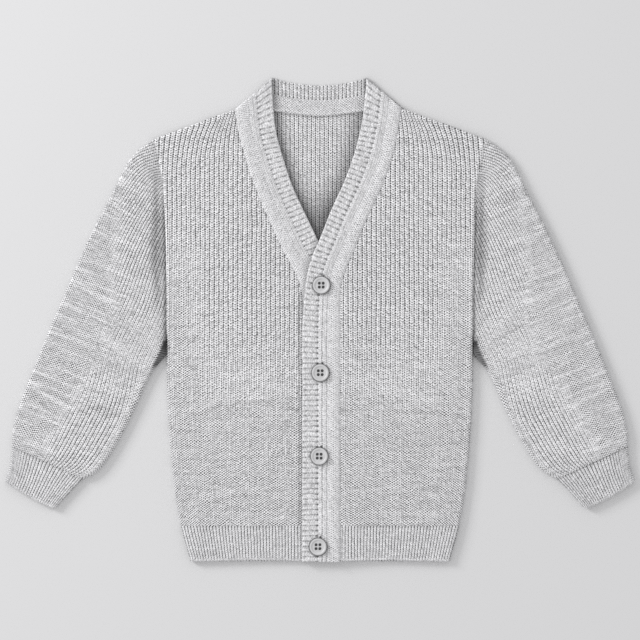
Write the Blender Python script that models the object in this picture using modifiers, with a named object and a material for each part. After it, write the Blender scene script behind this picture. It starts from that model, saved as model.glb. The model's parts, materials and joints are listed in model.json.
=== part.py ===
"""A child's V-neck cardigan in rib knit, buttoned and laid flat on its back.

X runs across the garment, from the wearer's right to the wearer's left. Y runs from the hem to the
neck and Z up from the surface it lies on. Lengths here are in millimetres, and mesh_object turns
them into metres. Heights are measured up the garment from the bottom of the hem.
"""

import math
from functools import partial

import bmesh
import bpy
import numpy as np

COLLECTION = "knit_cardigan"
MM = 0.001

# Driving sizes
LENGTH = 474.0  # bottom of the hem to the top of the neck
HALF_CHEST = 150.0
HEM_DEPTH = 35.8
UNDERARM = 219.0  # height of the underarm
SHOULDER_TIP = (162.9, 413.5)  # half shoulder width, height
NECK_CENTRE = 437.2  # height of the back neck seam at the centre
NECK_SAG = 41.0  # width over which the neck seam rises from its centre
BAND_CENTRE = 466.5  # height of the back neck band's free edge at the centre
WALL = 2.2  # thickness of the knit
GAP = 0.3  # between pieces sewn or lying together
FOLD_HEIGHT = 6.0  # the flattened body's height at its side and shoulder folds
SLEEVE_PUFF = 0.9  # how much higher the middle of a sleeve stands
EASE = 45.0  # width over which a front rises or falls to its band
BUTTON_RADIUS = 9.0
BUTTON_THICK = 2.6
BUTTON_RIM = 1.7
HOLE_RADIUS = 1.1
HOLE_SPACING = 4.2
STEM_RADIUS = 0.9
SLIT_WIDTH = 2.8
SLIT_ABOVE = 10.4  # how far a buttonhole runs above its button's centre
SLIT_BELOW = 6.5

# Heights of the layers
SEAM_LEVEL = FOLD_HEIGHT / 2
LOW_LIP = SEAM_LEVEL - GAP / 2
HIGH_LIP = SEAM_LEVEL + GAP / 2
LAYER_GAP = GAP + 0.05
UNDER_TOP = 2 * WALL + LAYER_GAP  # top of the button band over the back
OVER_TOP = UNDER_TOP + LAYER_GAP + WALL  # top of the buttonhole band over the button band
FOLD_REACH = LOW_LIP  # how far in from its edge a fold is round
FOLD_STEPS = 3  # sections of a quarter fold
SEAM_GAP = 0.35  # between the edges of a band and what it is sewn to
ARMHOLE_GAP = 0.5  # between a sleeve's edge and the body's, whose curves have different sections
NECK_HALF, NECK_POINT = 81.5, 443.4  # where the shoulder meets the band: half width, height
MIDDLE = LENGTH / 2
FRONT_COLUMNS = 7  # sections across a front's flat
NECK_COLUMNS = 10  # across half of the back's flat below the neck, which is 3/7 of it
OUTER_COLUMNS = 4  # across the rest of that half
TUBE_COLUMNS = 7  # across one face of a sleeve's flat
BUTTON_STEPS = 28
OPEN_REACH = 8.0  # how far above the underarm the side fold takes to open out
NECK_REACH = 12.0  # how far inside the shoulder its fold takes to open out at the neck
TILT_POWER = 1.6  # how late the rows of a front turn to the shoulder's slope


def table(columns, *rows):
    """Rows of sizes as named columns."""
    return dict(zip(columns.split(), np.array(rows, float).T, strict=True))


SIDE = table(
    "height half_width",
    (0, 126.5),
    (HEM_DEPTH, 136.3),
    (65, 141.5),
    (97, 145.0),
    (132, 147.8),
    (167, 149.5),
    (UNDERARM, HALF_CHEST),
    (290, HALF_CHEST + 0.4),
    (329, 151.5),
    (355, 152.9),
    (372, 154.5),
    (388, 156.9),
    (402, 159.6),
    SHOULDER_TIP[::-1],
)

# Sections across the buttonhole band, from the hem to the shoulder fold: its free edge, its seam to
# the front, and the heights of its upper face at both.
BAND_LEFT = table(
    "free_x free_y seam_x seam_y free_top seam_top",
    (-17.6, 0, 19.6, 0, OVER_TOP, OVER_TOP),
    (-17.5, 90, 19.6, 90, OVER_TOP, OVER_TOP),
    (-17.3, 180, 19.6, 180, OVER_TOP, OVER_TOP),
    (-17.0, 237, 19.6, 233, OVER_TOP, OVER_TOP),
    (-15.6, 259, 19.6, 254, OVER_TOP, OVER_TOP),
    (-13.0, 279, 20.6, 271, OVER_TOP, OVER_TOP),
    (-8.4, 297, 25.6, 287, OVER_TOP, OVER_TOP),
    (-0.3, 316, 32.2, 302, OVER_TOP, OVER_TOP),
    (11.4, 345.5, 43.4, 330, 6.1, 7.0),
    (24.3, 373.7, 57.2, 360, 5.4, 6.5),
    (34.4, 402.9, 69.6, 392, 5.2, 6.2),
    (41.2, 432.2, 76.6, 424, 5.3, FOLD_HEIGHT),
    (45.8, LENGTH, 79.6, 444.3, FOLD_HEIGHT, FOLD_HEIGHT),
)

# The same for the button band, which lies beneath. Its X is measured towards the wearer's right.
BAND_RIGHT = table(
    "free_x free_y seam_x seam_y free_top seam_top",
    (-17.2, 0, 16.0, 0, UNDER_TOP, UNDER_TOP),
    (-17.2, 90, 16.0, 90, UNDER_TOP, UNDER_TOP),
    (-17.2, 180, 16.0, 180, UNDER_TOP, UNDER_TOP),
    (-16.6, 235, 16.0, 235, UNDER_TOP, UNDER_TOP),
    (-15.0, 260, 16.8, 258, UNDER_TOP, UNDER_TOP),
    (-12.4, 280, 20.2, 273.5, UNDER_TOP, UNDER_TOP),
    (-7.6, 297, 26.6, 287.5, UNDER_TOP, UNDER_TOP),
    (2.2, 315.6, 34.4, 301.5, UNDER_TOP, UNDER_TOP),
    (14.0, 340, 46.5, 327, 4.8, 5.3),
    (27.4, 369.2, 59.4, 357, 5.0, 5.8),
    (35.6, 394, 69.4, 384, 5.1, FOLD_HEIGHT),
    (43.4, 424, 78.4, 415, 5.3, FOLD_HEIGHT),
    (47.2, LENGTH - 0.6, 83.4, 442.6, FOLD_HEIGHT, FOLD_HEIGHT),
)

# Sections across a sleeve, from the armhole to the cuff: its outer fold and its underarm fold.
SLEEVE = table(
    "outer_x outer_y inner_x inner_y",
    (163.3, 413.3, HALF_CHEST + 0.5, 218.6),
    (180.8, 400, 151.4, 215.4),
    (204.2, 359.4, 153.8, 209),
    (229, 310.4, 158.0, 199.2),
    (250.2, 261.8, 164, 186.6),
    (266, 225, 171.8, 170.8),
    (277, 198, 181.6, 149.1),
    (286.5, 173.5, 193.6, 125),
    (296.2, 147, 207.6, 101),
    (301, 127, 219.8, 87),
    (301.4, 113, 233.2, 80.3),
)

CUFF = table(
    "outer_x outer_y inner_x inner_y",
    (301.5, 112.6, 233.5, 79.9),
    (302.4, 101, 241.5, 71.6),
    (304.6, 89.6, 250, 62.4),
    (308.6, 78.6, 259.7, 51.5),
)

# Where each button stands, which is where its wearer would pull it
BUTTONS = table(
    "x y",
    (-1.9, 15.1),
    (-0.7, 103.5),
    (0.3, 185.0),
    (1.3, 270.5),
)

# Finishes: base colour, roughness
KNIT = ((0.56, 0.56, 0.565), 0.92)
BAND_KNIT = ((0.65, 0.65, 0.655), 0.92)
RIB_KNIT = ((0.52, 0.52, 0.525), 0.92)
BUTTON_PLASTIC = ((0.5, 0.5, 0.5), 0.42)
THREAD = ((0.4, 0.4, 0.41), 0.85)


def smooth(at, knots, values):
    """The smooth curve through (knots, values) at each of the given places: cubic Hermite pieces."""
    at = np.asarray(at, float)
    slopes = np.gradient(values, knots)
    piece = np.clip(np.searchsorted(knots, at) - 1, 0, len(knots) - 2)
    step = knots[piece + 1] - knots[piece]
    t = (at - knots[piece]) / step
    start = (1 + 2 * t) * (1 - t) ** 2 * values[piece] + t * (1 - t) ** 2 * step * slopes[piece]
    end = t**2 * (3 - 2 * t) * values[piece + 1] - t**2 * (1 - t) * step * slopes[piece + 1]
    return start + end


def ease(t):
    """A rise from 0 to 1 that starts and ends level."""
    t = np.clip(t, 0, 1)
    return t * t * (3 - 2 * t)


def half_width(height):
    """Half of the body's width at a height."""
    return smooth(height, SIDE["height"], SIDE["half_width"])


def fold_angles():
    """Angles round a quarter fold, from the flat to its edge."""
    return np.linspace(0, math.pi / 2, FOLD_STEPS + 1)


def fold_offset(angle, inset):
    """Distance in from a fold's edge, at an angle round it and a depth inside its outer face."""
    return FOLD_REACH - (FOLD_REACH - inset) * np.sin(angle)


def finish(name, colour, roughness):
    """A material with one plain finish."""
    material = bpy.data.materials.new(name)
    material.use_nodes = True
    shader = material.node_tree.nodes["Principled BSDF"]
    shader.inputs["Base Color"].default_value = (*colour, 1)
    shader.inputs["Roughness"].default_value = roughness
    shader.inputs["Metallic"].default_value = 0
    return material


def mesh_object(name, mesh, look, collection):
    """An object for a mesh in millimetres, with a finish of its own."""
    for vertex in mesh.vertices:
        vertex.co *= MM
    mesh.materials.append(finish(name, *look))
    mesh.shade_smooth()
    mesh.set_sharp_from_angle(angle=math.radians(40))
    obj = bpy.data.objects.new(name, mesh)
    collection.objects.link(obj)
    return obj


def quads(index):
    """The faces of a grid of vertex numbers."""
    corners = [index[:-1, :-1], index[:-1, 1:], index[1:, 1:], index[1:, :-1]]
    return np.stack(corners, axis=-1).reshape(-1, 4)


def knit_wall(name, surface, look, collection, ring=False):
    """A wall of knit: a closed loft between its outer face and the face a wall's thickness inside.

    surface gives a face's grid of points, rows by columns, at a depth inside the outer face. A ring
    closes on itself, its last column next to its first.
    """
    grids = [surface(0), surface(WALL)]
    rows, columns = grids[0].shape[:2]
    outer = np.arange(rows * columns).reshape(rows, columns)
    if ring:
        outer = np.concatenate([outer, outer[:, :1]], axis=1)
    inner = outer + rows * columns
    sheets = [quads(outer), quads(inner)[:, ::-1]]
    sheets.append(quads(np.stack([inner[0], outer[0]])))
    sheets.append(quads(np.stack([outer[-1], inner[-1]])))
    if not ring:
        sheets.append(quads(np.stack([outer[:, 0], inner[:, 0]])))
        sheets.append(quads(np.stack([inner[:, -1], outer[:, -1]])))
    points = np.concatenate([grid.reshape(-1, 3) for grid in grids]) - [0, MIDDLE, 0]
    mesh = bpy.data.meshes.new(name)
    mesh.from_pydata(points.tolist(), [], np.concatenate(sheets).tolist())
    mesh.update()
    if signed_volume(mesh) < 0:
        mesh.flip_normals()
    return mesh_object(name, mesh, look, collection)


def signed_volume(mesh):
    """The volume that a mesh's faces close in, negative where they face inwards."""
    shape = bmesh.new()
    shape.from_mesh(mesh)
    volume = shape.calc_volume(signed=True)
    shape.free()
    return volume


class Band:
    """A front band: sections from the hem up to its fold at the shoulder."""

    STRAIGHT_ROWS = 4
    CURVED_ROWS = 16
    COLUMNS = 5

    def __init__(self, sections, side):
        self.side = side
        middle_x = (sections["free_x"] + sections["seam_x"]) / 2
        middle_y = (sections["free_y"] + sections["seam_y"]) / 2
        steps = np.hypot(np.diff(middle_x), np.diff(middle_y))
        knots = np.concatenate([[0], np.cumsum(steps)])
        straight = np.linspace(0, knots[3], self.STRAIGHT_ROWS + 1)[:-1]
        curved = np.linspace(knots[3], knots[-1] - 2 * FOLD_REACH, self.CURVED_ROWS)
        stations = np.concatenate([straight, curved, knots[-1:]])
        self.rows = {name: smooth(stations, knots, sections[name]) for name in sections}

    def surface(self, inset):
        """The band's upper face, or one inside it, with its fold at the shoulder rolled down."""
        across = np.linspace(0, 1, self.COLUMNS)
        rows = {name: values[:, None] for name, values in self.rows.items()}
        x = rows["free_x"] + (rows["seam_x"] - rows["free_x"]) * across
        y = rows["free_y"] + (rows["seam_y"] - rows["free_y"]) * across
        z = rows["free_top"] + (rows["seam_top"] - rows["free_top"]) * across - inset
        flat = np.stack([self.side * x, y, z], axis=-1)
        return np.concatenate([flat[:-1], rolled(flat[-1], flat[-2], HIGH_LIP, inset)])

    def seam(self):
        """The front's inner edge along the band, a gap away from it, and its upper face's height."""
        seam = np.stack([self.rows["seam_x"], self.rows["seam_y"]], axis=-1)
        along = np.gradient(seam, axis=0)
        along /= np.linalg.norm(along, axis=1)[:, None]
        seam += SEAM_GAP * np.stack([along[:, 1], -along[:, 0]], axis=-1)
        return seam[:, 0], seam[:, 1], self.rows["seam_top"]


def rolled(edge, before, lip, inset):
    """Rows that round a flat face over to its lip along a folded edge.

    before is the row inside the edge, which the rows lead towards, and inset the face's depth
    inside the outer face.
    """
    along = edge[-1, :2] - edge[0, :2]
    normal = np.array([-along[1], along[0]]) / np.linalg.norm(along)
    inward = before[:, :2] - edge[:, :2]
    inward /= np.abs(inward @ normal)[:, None]
    rows = []
    for angle in fold_angles():
        row = edge.copy()
        row[:, :2] += inward * fold_offset(angle, inset)
        row[:, 2] = lip + (edge[:, 2] - lip) * np.cos(angle)
        rows.append(row)
    return np.array(rows)


def outer_height(height):
    """Height at which a row that starts at the band reaches the side: rows tilt to the shoulder."""
    tilt = np.clip((height - UNDERARM) / (NECK_POINT - UNDERARM), 0, None)
    return height - (NECK_POINT - SHOULDER_TIP[1]) * tilt**TILT_POWER


def front_surface(band, low, high, inset):
    """The upper face of a front, or one inside it, between two heights, from its band to its side.

    Above the underarm the side is the armhole, which is open, so the fold fades out there.
    """
    seam_x, seam_y, seam_top = band.seam()
    inside = (seam_y > low + 1) & (seam_y < high - 1)
    height = np.concatenate([[low], seam_y[inside], [high]])
    to_shoulder = high > SHOULDER_TIP[1]
    outer_y = outer_height(height)
    if to_shoulder:
        outer_y[-1] = SHOULDER_TIP[1]
    height, outer_y = height[:, None], outer_y[:, None]
    start = np.interp(height, seam_y, seam_x)
    start_top = np.interp(height, seam_y, seam_top)
    outer_x = half_width(outer_y)
    closed = 1 - ease((outer_y - UNDERARM) / OPEN_REACH)
    flat = start + (outer_x - FOLD_REACH - start) * np.linspace(0, 1, FRONT_COLUMNS)
    angle = fold_angles()[None, 1:]
    x = np.concatenate([flat, outer_x - fold_offset(angle, inset * closed)], axis=1)
    y = height + (outer_y - height) * (x - start) / (outer_x - start)
    z = start_top + (FOLD_HEIGHT - start_top) * ease((x - start) / EASE) - inset
    edge = z[:, FRONT_COLUMNS:]
    edge += (edge - HIGH_LIP) * (np.cos(angle) - 1) * closed
    grid = np.stack([x, y, z], axis=-1)
    if to_shoulder:
        grid = np.concatenate([grid[:-1], rolled(grid[-1], grid[-2], HIGH_LIP, inset)])
    return grid * [band.side, 1, 1]


def back_top(x):
    """Height of the back's upper edge: a shallow neckline, then the shoulder slope."""
    tip_x, tip_y = SHOULDER_TIP
    sag = 1 - np.exp(-((x / NECK_SAG) ** 2))
    full = 1 - math.exp(-((NECK_HALF / NECK_SAG) ** 2))
    neckline = NECK_CENTRE + (NECK_POINT - NECK_CENTRE) * sag / full
    slope = NECK_POINT + (tip_y - NECK_POINT) * (np.abs(x) - NECK_HALF) / (tip_x - NECK_HALF)
    return np.where(np.abs(x) < NECK_HALF, neckline, slope)


def back_surface(low, high, rows, inset):
    """The lower face of the back or its hem, or one inside it, between two heights.

    It lies on the ground. Its sides below the underarm and its shoulders turn up to the fronts.
    """
    to_shoulder = high > SHOULDER_TIP[1]
    top = SHOULDER_TIP[1] if to_shoulder else high
    share = np.linspace(0, 1, rows)[:, None]
    side_y = low + (top - low) * share
    side_x = half_width(side_y)
    closed = 1 - ease((side_y - UNDERARM) / OPEN_REACH)
    half = np.concatenate([np.linspace(0, 3 / 7, NECK_COLUMNS), np.linspace(4 / 7, 1, OUTER_COLUMNS)])
    flat = np.concatenate([-half[:0:-1], half]) * (side_x - FOLD_REACH)
    angle = fold_angles()[None, 1:]
    edge = side_x - fold_offset(angle, inset * closed)
    edge_z = inset + (LOW_LIP - inset) * (1 - np.cos(angle)) * closed
    x = np.concatenate([-edge[:, ::-1], flat, edge], axis=1)
    z = np.concatenate([edge_z[:, ::-1], np.full_like(flat, inset), edge_z], axis=1)
    edge_y = back_top(x[-1:]) if to_shoulder else np.full_like(x[-1:], high)
    y = low + (edge_y - low) * share
    grid = np.stack([x, y, z], axis=-1)
    if to_shoulder:
        folded = ease((np.abs(grid[-1, :, 0]) - NECK_HALF) / NECK_REACH + 1)
        last = []
        for angle in fold_angles():
            row = grid[-1].copy()
            row[:, 1] -= fold_offset(angle, inset * folded)
            row[:, 0] *= half_width(row[-1, 1]) / half_width(top)
            row[:, 2] += (LOW_LIP - row[:, 2]) * (1 - np.cos(angle)) * folded
            last.append(row)
        grid = np.concatenate([grid[:-1], np.array(last)])
    return grid


def neck_surface(bands, inset):
    """The lower face of the back neck band, or one inside it, folded up at both ends."""
    ends = {band.side: {name: band.rows[name][-1] for name in band.rows} for band in bands}
    across = np.linspace(-1, 1, 25)[:, None]
    up = np.linspace(0, 1, 4)[None, :]
    left = across > 0
    low_x = np.where(left, ends[1]["seam_x"], ends[-1]["seam_x"]) * across
    high_x = np.where(left, ends[1]["free_x"], ends[-1]["free_x"]) * across
    high_end = np.where(left, ends[1]["free_y"], ends[-1]["free_y"])
    low_y = back_top(low_x) + SEAM_GAP
    high_y = BAND_CENTRE + (high_end - BAND_CENTRE) * across**2
    x = low_x + (high_x - low_x) * up
    y = low_y + (high_y - low_y) * up
    grid = np.stack([x, y, np.full_like(x, inset)], axis=-1)
    right_end = rolled(grid[0], grid[1], LOW_LIP, inset)
    left_end = rolled(grid[-1], grid[-2], LOW_LIP, inset)
    return np.concatenate([right_end[::-1], grid[1:-1], left_end])


def tube_surface(sections, side, count, inset, armhole=False):
    """The outer face of a flattened tube, or one inside it: a ring of points at each section.

    The first section of a sleeve follows the armhole, and the next ones grow straight.
    """
    knots = np.arange(len(sections["outer_x"]), dtype=float)
    stations = np.linspace(0, knots[-1], count)
    values = {name: smooth(stations, knots, sections[name]) for name in sections}
    outer = np.stack([values["outer_x"], values["outer_y"]], axis=-1)
    inner = np.stack([values["inner_x"], values["inner_y"]], axis=-1)
    width = np.linalg.norm(outer - inner, axis=-1)[:, None]
    direction = (outer - inner) / width
    centre = FOLD_HEIGHT / 2
    radius = centre - inset
    flat = np.linspace(0, 1, TUBE_COLUMNS)
    angles = np.linspace(0, math.pi, 2 * FOLD_STEPS)[1:-1]
    over = centre + (width - 2 * centre) * flat
    outer_turn = width - centre + radius * np.sin(angles)
    inner_turn = np.broadcast_to(centre - radius * np.sin(angles), (count, len(angles)))
    along = np.concatenate([over, outer_turn, over[:, ::-1], inner_turn], axis=1)
    x = inner[:, :1] + direction[:, :1] * along
    y = inner[:, 1:] + direction[:, 1:] * along
    turn_z = centre + radius * np.cos(angles)
    low_z = np.full(len(flat), inset)
    ring_z = np.concatenate([low_z + 2 * radius, turn_z, low_z, turn_z[::-1]])
    puff = np.zeros(len(ring_z))
    puff[: len(flat)] = SLEEVE_PUFF * np.sin(math.pi * flat) ** 2
    fade = np.zeros((count, 1))
    if armhole:
        fade = np.clip(1 - stations / 3, 0, 1)[:, None] ** 2
        x = x + (half_width(y) + ARMHOLE_GAP - x) * fade**2
    z = ring_z + puff * (1 - fade)
    return np.stack([side * x, y, z], axis=-1)


def cutter_prism(name, sides, collection):
    """An upright prism of radius and height 1 at the origin, for cutting. It isn't a piece."""
    mesh = bpy.data.meshes.new(name)
    shape = bmesh.new()
    bmesh.ops.create_cone(shape, cap_ends=True, segments=sides, radius1=1, radius2=1, depth=1)
    shape.to_mesh(mesh)
    shape.free()
    prism = bpy.data.objects.new(name, mesh)
    prism.hide_render = True
    prism.display_type = "WIRE"
    collection.objects.link(prism)
    return prism


def cut(obj, cutter):
    """Takes the cutter's shape out of an object."""
    boolean = obj.modifiers.new(cutter.name, "BOOLEAN")
    boolean.operation = "DIFFERENCE"
    boolean.object = cutter


def buttonhole(band, x, height, collection):
    """Cuts a lens-shaped slit through a band, upright, where a button's stem passes."""
    prism = cutter_prism(f"slit_{height:.0f}", 12, collection)
    half_length = (SLIT_ABOVE + SLIT_BELOW) / 2
    middle = height + (SLIT_ABOVE - SLIT_BELOW) / 2
    for vertex in prism.data.vertices:
        pinch = abs(vertex.co.x) ** 0.5
        vertex.co.x = (x + vertex.co.x * pinch * SLIT_WIDTH / 2) * MM
        vertex.co.y = (middle - MIDDLE + vertex.co.y * half_length) * MM
        vertex.co.z = (OVER_TOP - WALL / 2 + vertex.co.z * 3 * WALL) * MM
    cut(band, prism)


def button(name, x, height, collection, cutters):
    """A turned four-hole button with a raised rim and a sunk middle, lying on the buttonhole band."""
    low = OVER_TOP + GAP
    high = low + BUTTON_THICK
    well = BUTTON_RADIUS - BUTTON_RIM
    profile = [
        (0, high - 0.75),
        (well - 0.9, high - 0.7),
        (well, high - 0.15),
        (well + BUTTON_RIM / 2, high),
        (BUTTON_RADIUS - 0.35, high - 0.35),
        (BUTTON_RADIUS, high - 1.1),
        (BUTTON_RADIUS - 0.8, low + 0.45),
        (BUTTON_RADIUS - 3, low),
        (0, low),
    ]
    mesh = bpy.data.meshes.new(name)
    edges = [(i, i + 1) for i in range(len(profile) - 1)]
    mesh.from_pydata([(out, 0, up) for out, up in profile], edges, [])
    obj = mesh_object(name, mesh, BUTTON_PLASTIC, collection)
    obj.location = (x * MM, (height - MIDDLE) * MM, 0)
    turn = obj.modifiers.new("turn", "SCREW")
    turn.steps = BUTTON_STEPS
    turn.render_steps = BUTTON_STEPS
    turn.use_merge_vertices = True
    turn.merge_threshold = 0.00001
    for column in (-0.5, 0.5):
        for row in (-0.5, 0.5):
            hole = cutter_prism(f"{name}_hole", 8, cutters)
            centre = (x + column * HOLE_SPACING, height - MIDDLE + row * HOLE_SPACING, low)
            for vertex in hole.data.vertices:
                vertex.co.x = (centre[0] + vertex.co.x * HOLE_RADIUS) * MM
                vertex.co.y = (centre[1] + vertex.co.y * HOLE_RADIUS) * MM
                vertex.co.z = (centre[2] + vertex.co.z * 4 * BUTTON_THICK) * MM
            cut(obj, hole)


def thread_stem(name, x, height, collection):
    """The wound stem of thread between the button band and a button, through its slit."""
    low = UNDER_TOP + GAP
    high = OVER_TOP
    mesh = bpy.data.meshes.new(name)
    shape = bmesh.new()
    bmesh.ops.create_cone(
        shape,
        cap_ends=True,
        segments=10,
        radius1=STEM_RADIUS,
        radius2=STEM_RADIUS,
        depth=high - low,
    )
    middle = (x, height - MIDDLE, (low + high) / 2)
    bmesh.ops.translate(shape, vec=middle, verts=shape.verts)
    shape.to_mesh(mesh)
    shape.free()
    mesh_object(name, mesh, THREAD, collection)


def build():
    for obj in list(bpy.data.objects):
        bpy.data.objects.remove(obj)
    garment = bpy.data.collections.new(COLLECTION)
    cutters = bpy.data.collections.new("cutters")
    for collection in (garment, cutters):
        bpy.context.scene.collection.children.link(collection)

    bands = {"left": Band(BAND_LEFT, 1), "right": Band(BAND_RIGHT, -1)}
    hem_top = HEM_DEPTH - GAP / 2
    panel_low = HEM_DEPTH + GAP
    knit_wall("hem_back", partial(back_surface, 0, hem_top, 3), RIB_KNIT, garment)
    knit_wall("back_panel", partial(back_surface, panel_low, LENGTH, 18), KNIT, garment)
    knit_wall("band_neck", partial(neck_surface, bands.values()), BAND_KNIT, garment)
    for name, band in bands.items():
        neck_height = band.seam()[1][-1]
        hem = partial(front_surface, band, 0, hem_top)
        knit_wall(f"hem_{name}", hem, RIB_KNIT, garment)
        front = partial(front_surface, band, panel_low, neck_height)
        knit_wall(f"front_{name}", front, KNIT, garment)
        sleeve = partial(tube_surface, SLEEVE, band.side, 13, armhole=True)
        knit_wall(f"sleeve_{name}", sleeve, KNIT, garment, ring=True)
        cuff = partial(tube_surface, CUFF, band.side, 4)
        knit_wall(f"cuff_{name}", cuff, RIB_KNIT, garment, ring=True)
        knit_wall(f"band_{name}", band.surface, BAND_KNIT, garment)

    over = bpy.data.objects["band_left"]
    for number, (x, height) in enumerate(zip(BUTTONS["x"], BUTTONS["y"], strict=True), 1):
        buttonhole(over, x, height, cutters)
        button(f"button_{number}", x, height, garment, cutters)
        thread_stem(f"button_thread_{number}", x, height, garment)


if __name__ == "__main__":
    build()
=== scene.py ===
"""A child's V-neck cardigan in heather rib knit, buttoned and laid flat on its back.

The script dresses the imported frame: each cloth node is replaced by a knitted skin on the same
form, with its ribs, stitches and soft creases in the mesh, and the finer yarn in its material.
Shapes are worked out in millimetres. X runs across the garment to the wearer's left, heights run
up it from the bottom of the hem, and Z up from the surface that it lies on.
"""

import json
import logging
import math
from dataclasses import dataclass, field, replace
from enum import Enum

import bpy
import numpy as np
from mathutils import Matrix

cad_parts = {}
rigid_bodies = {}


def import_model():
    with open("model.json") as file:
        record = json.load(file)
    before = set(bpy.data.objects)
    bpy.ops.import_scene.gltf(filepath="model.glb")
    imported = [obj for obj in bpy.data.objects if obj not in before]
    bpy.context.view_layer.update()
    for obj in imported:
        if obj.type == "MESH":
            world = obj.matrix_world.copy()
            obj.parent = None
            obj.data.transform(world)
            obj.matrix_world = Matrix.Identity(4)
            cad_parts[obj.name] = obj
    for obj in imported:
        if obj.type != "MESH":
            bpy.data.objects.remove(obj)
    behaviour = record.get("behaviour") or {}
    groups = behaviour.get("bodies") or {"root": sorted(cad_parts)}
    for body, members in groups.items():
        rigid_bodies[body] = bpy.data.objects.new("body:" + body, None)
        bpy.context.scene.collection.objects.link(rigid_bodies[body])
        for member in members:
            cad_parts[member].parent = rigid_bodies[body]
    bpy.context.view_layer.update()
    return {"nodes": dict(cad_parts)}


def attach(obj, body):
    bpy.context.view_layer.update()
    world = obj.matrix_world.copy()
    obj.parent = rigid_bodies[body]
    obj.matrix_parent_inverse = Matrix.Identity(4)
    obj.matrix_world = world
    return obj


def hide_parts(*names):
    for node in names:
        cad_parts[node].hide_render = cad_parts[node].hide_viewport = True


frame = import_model()
LOG = logging.getLogger("cardigan")
Array = np.ndarray
Columns = dict[str, Array]

MM = 0.001
LENGTH = 474.0  # bottom of the hem to the top of the neck
MIDDLE = LENGTH / 2
HALF_CHEST = 150.0
HEM_DEPTH = 35.8
UNDERARM = 219.0
SHOULDER_TIP = (162.9, 413.5)  # half shoulder width, height
SHOULDER_COS = 0.94  # cosine of the shoulder's slope
NECK_CENTRE = 437.2  # height of the back neck seam at the centre
NECK_SAG = 41.0  # width over which the neck seam rises from its centre
BAND_CENTRE = 466.5  # height of the back neck band's free edge at the centre
NECK_HALF, NECK_POINT = 81.5, 443.4  # where the shoulder meets the band
WALL = 2.2  # thickness of the knit
FOLD_HEIGHT = 6.0  # height of the flattened garment at its folds
FOLD = FOLD_HEIGHT / 2  # radius of a fold, and the height where front and back meet
EASE = 45.0  # width over which a front rises or falls to its band
UNDER_TOP = 4.75  # top of the button band
OVER_TOP = 7.3  # top of the buttonhole band
BUTTON_LOW = OVER_TOP + 0.3
RIB_STEPS = 8  # columns of the mesh to a rib and its groove
SPARSE_STEPS = 4  # the same on the under faces
COURSE_STEPS = 2  # rows of the mesh to a stitch
SLANT = 1.25  # how steeply a stitch's legs rise from the middle of a rib, in stitches to a pair
MOSS_SLOPE = 1.25  # and how steeply the lines of the smooth knit cross it
ONE_TURN = 2 * math.pi


def table(columns: str, *rows: tuple[float, ...]) -> Columns:
    """Rows of sizes as named columns."""
    return dict(zip(columns.split(), np.array(rows, float).T, strict=True))


SIDE = table(
    "height half_width",
    (0, 126.5),
    (HEM_DEPTH, 136.3),
    (65, 141.5),
    (97, 145.0),
    (132, 147.8),
    (167, 149.5),
    (UNDERARM, HALF_CHEST),
    (290, HALF_CHEST + 0.4),
    (329, 151.5),
    (355, 152.9),
    (372, 154.5),
    (388, 156.9),
    (402, 159.6),
    SHOULDER_TIP[::-1],
)

# Sections across the buttonhole band: its free edge, its seam to the front and its heights at both
BAND_LEFT = table(
    "free_x free_y seam_x seam_y free_top seam_top",
    (-17.6, 0, 19.6, 0, OVER_TOP, OVER_TOP),
    (-17.5, 90, 19.6, 90, OVER_TOP, OVER_TOP),
    (-17.3, 180, 19.6, 180, OVER_TOP, OVER_TOP),
    (-17.0, 237, 19.6, 233, OVER_TOP, OVER_TOP),
    (-15.6, 259, 19.6, 254, OVER_TOP, OVER_TOP),
    (-13.0, 279, 20.6, 271, OVER_TOP, OVER_TOP),
    (-8.4, 297, 25.6, 287, OVER_TOP, OVER_TOP),
    (-0.3, 316, 32.2, 302, OVER_TOP, OVER_TOP),
    (11.4, 345.5, 43.4, 330, 6.1, 7.0),
    (24.3, 373.7, 57.2, 360, 5.4, 6.5),
    (34.4, 402.9, 69.6, 392, 5.2, 6.2),
    (41.2, 432.2, 76.6, 424, 5.3, FOLD_HEIGHT),
    (45.8, LENGTH, 79.6, 444.3, FOLD_HEIGHT, FOLD_HEIGHT),
)

# The same for the button band, with its X towards the wearer's right
BAND_RIGHT = table(
    "free_x free_y seam_x seam_y free_top seam_top",
    (-17.2, 0, 16.0, 0, UNDER_TOP, UNDER_TOP),
    (-17.2, 90, 16.0, 90, UNDER_TOP, UNDER_TOP),
    (-17.2, 180, 16.0, 180, UNDER_TOP, UNDER_TOP),
    (-16.6, 235, 16.0, 235, UNDER_TOP, UNDER_TOP),
    (-15.0, 260, 16.8, 258, UNDER_TOP, UNDER_TOP),
    (-12.4, 280, 20.2, 273.5, UNDER_TOP, UNDER_TOP),
    (-7.6, 297, 26.6, 287.5, UNDER_TOP, UNDER_TOP),
    (2.2, 315.6, 34.4, 301.5, UNDER_TOP, UNDER_TOP),
    (14.0, 340, 46.5, 327, 4.8, 5.3),
    (27.4, 369.2, 59.4, 357, 5.0, 5.8),
    (35.6, 394, 69.4, 384, 5.1, FOLD_HEIGHT),
    (43.4, 424, 78.4, 415, 5.3, FOLD_HEIGHT),
    (47.2, LENGTH - 0.6, 83.4, 442.6, FOLD_HEIGHT, FOLD_HEIGHT),
)

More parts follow.
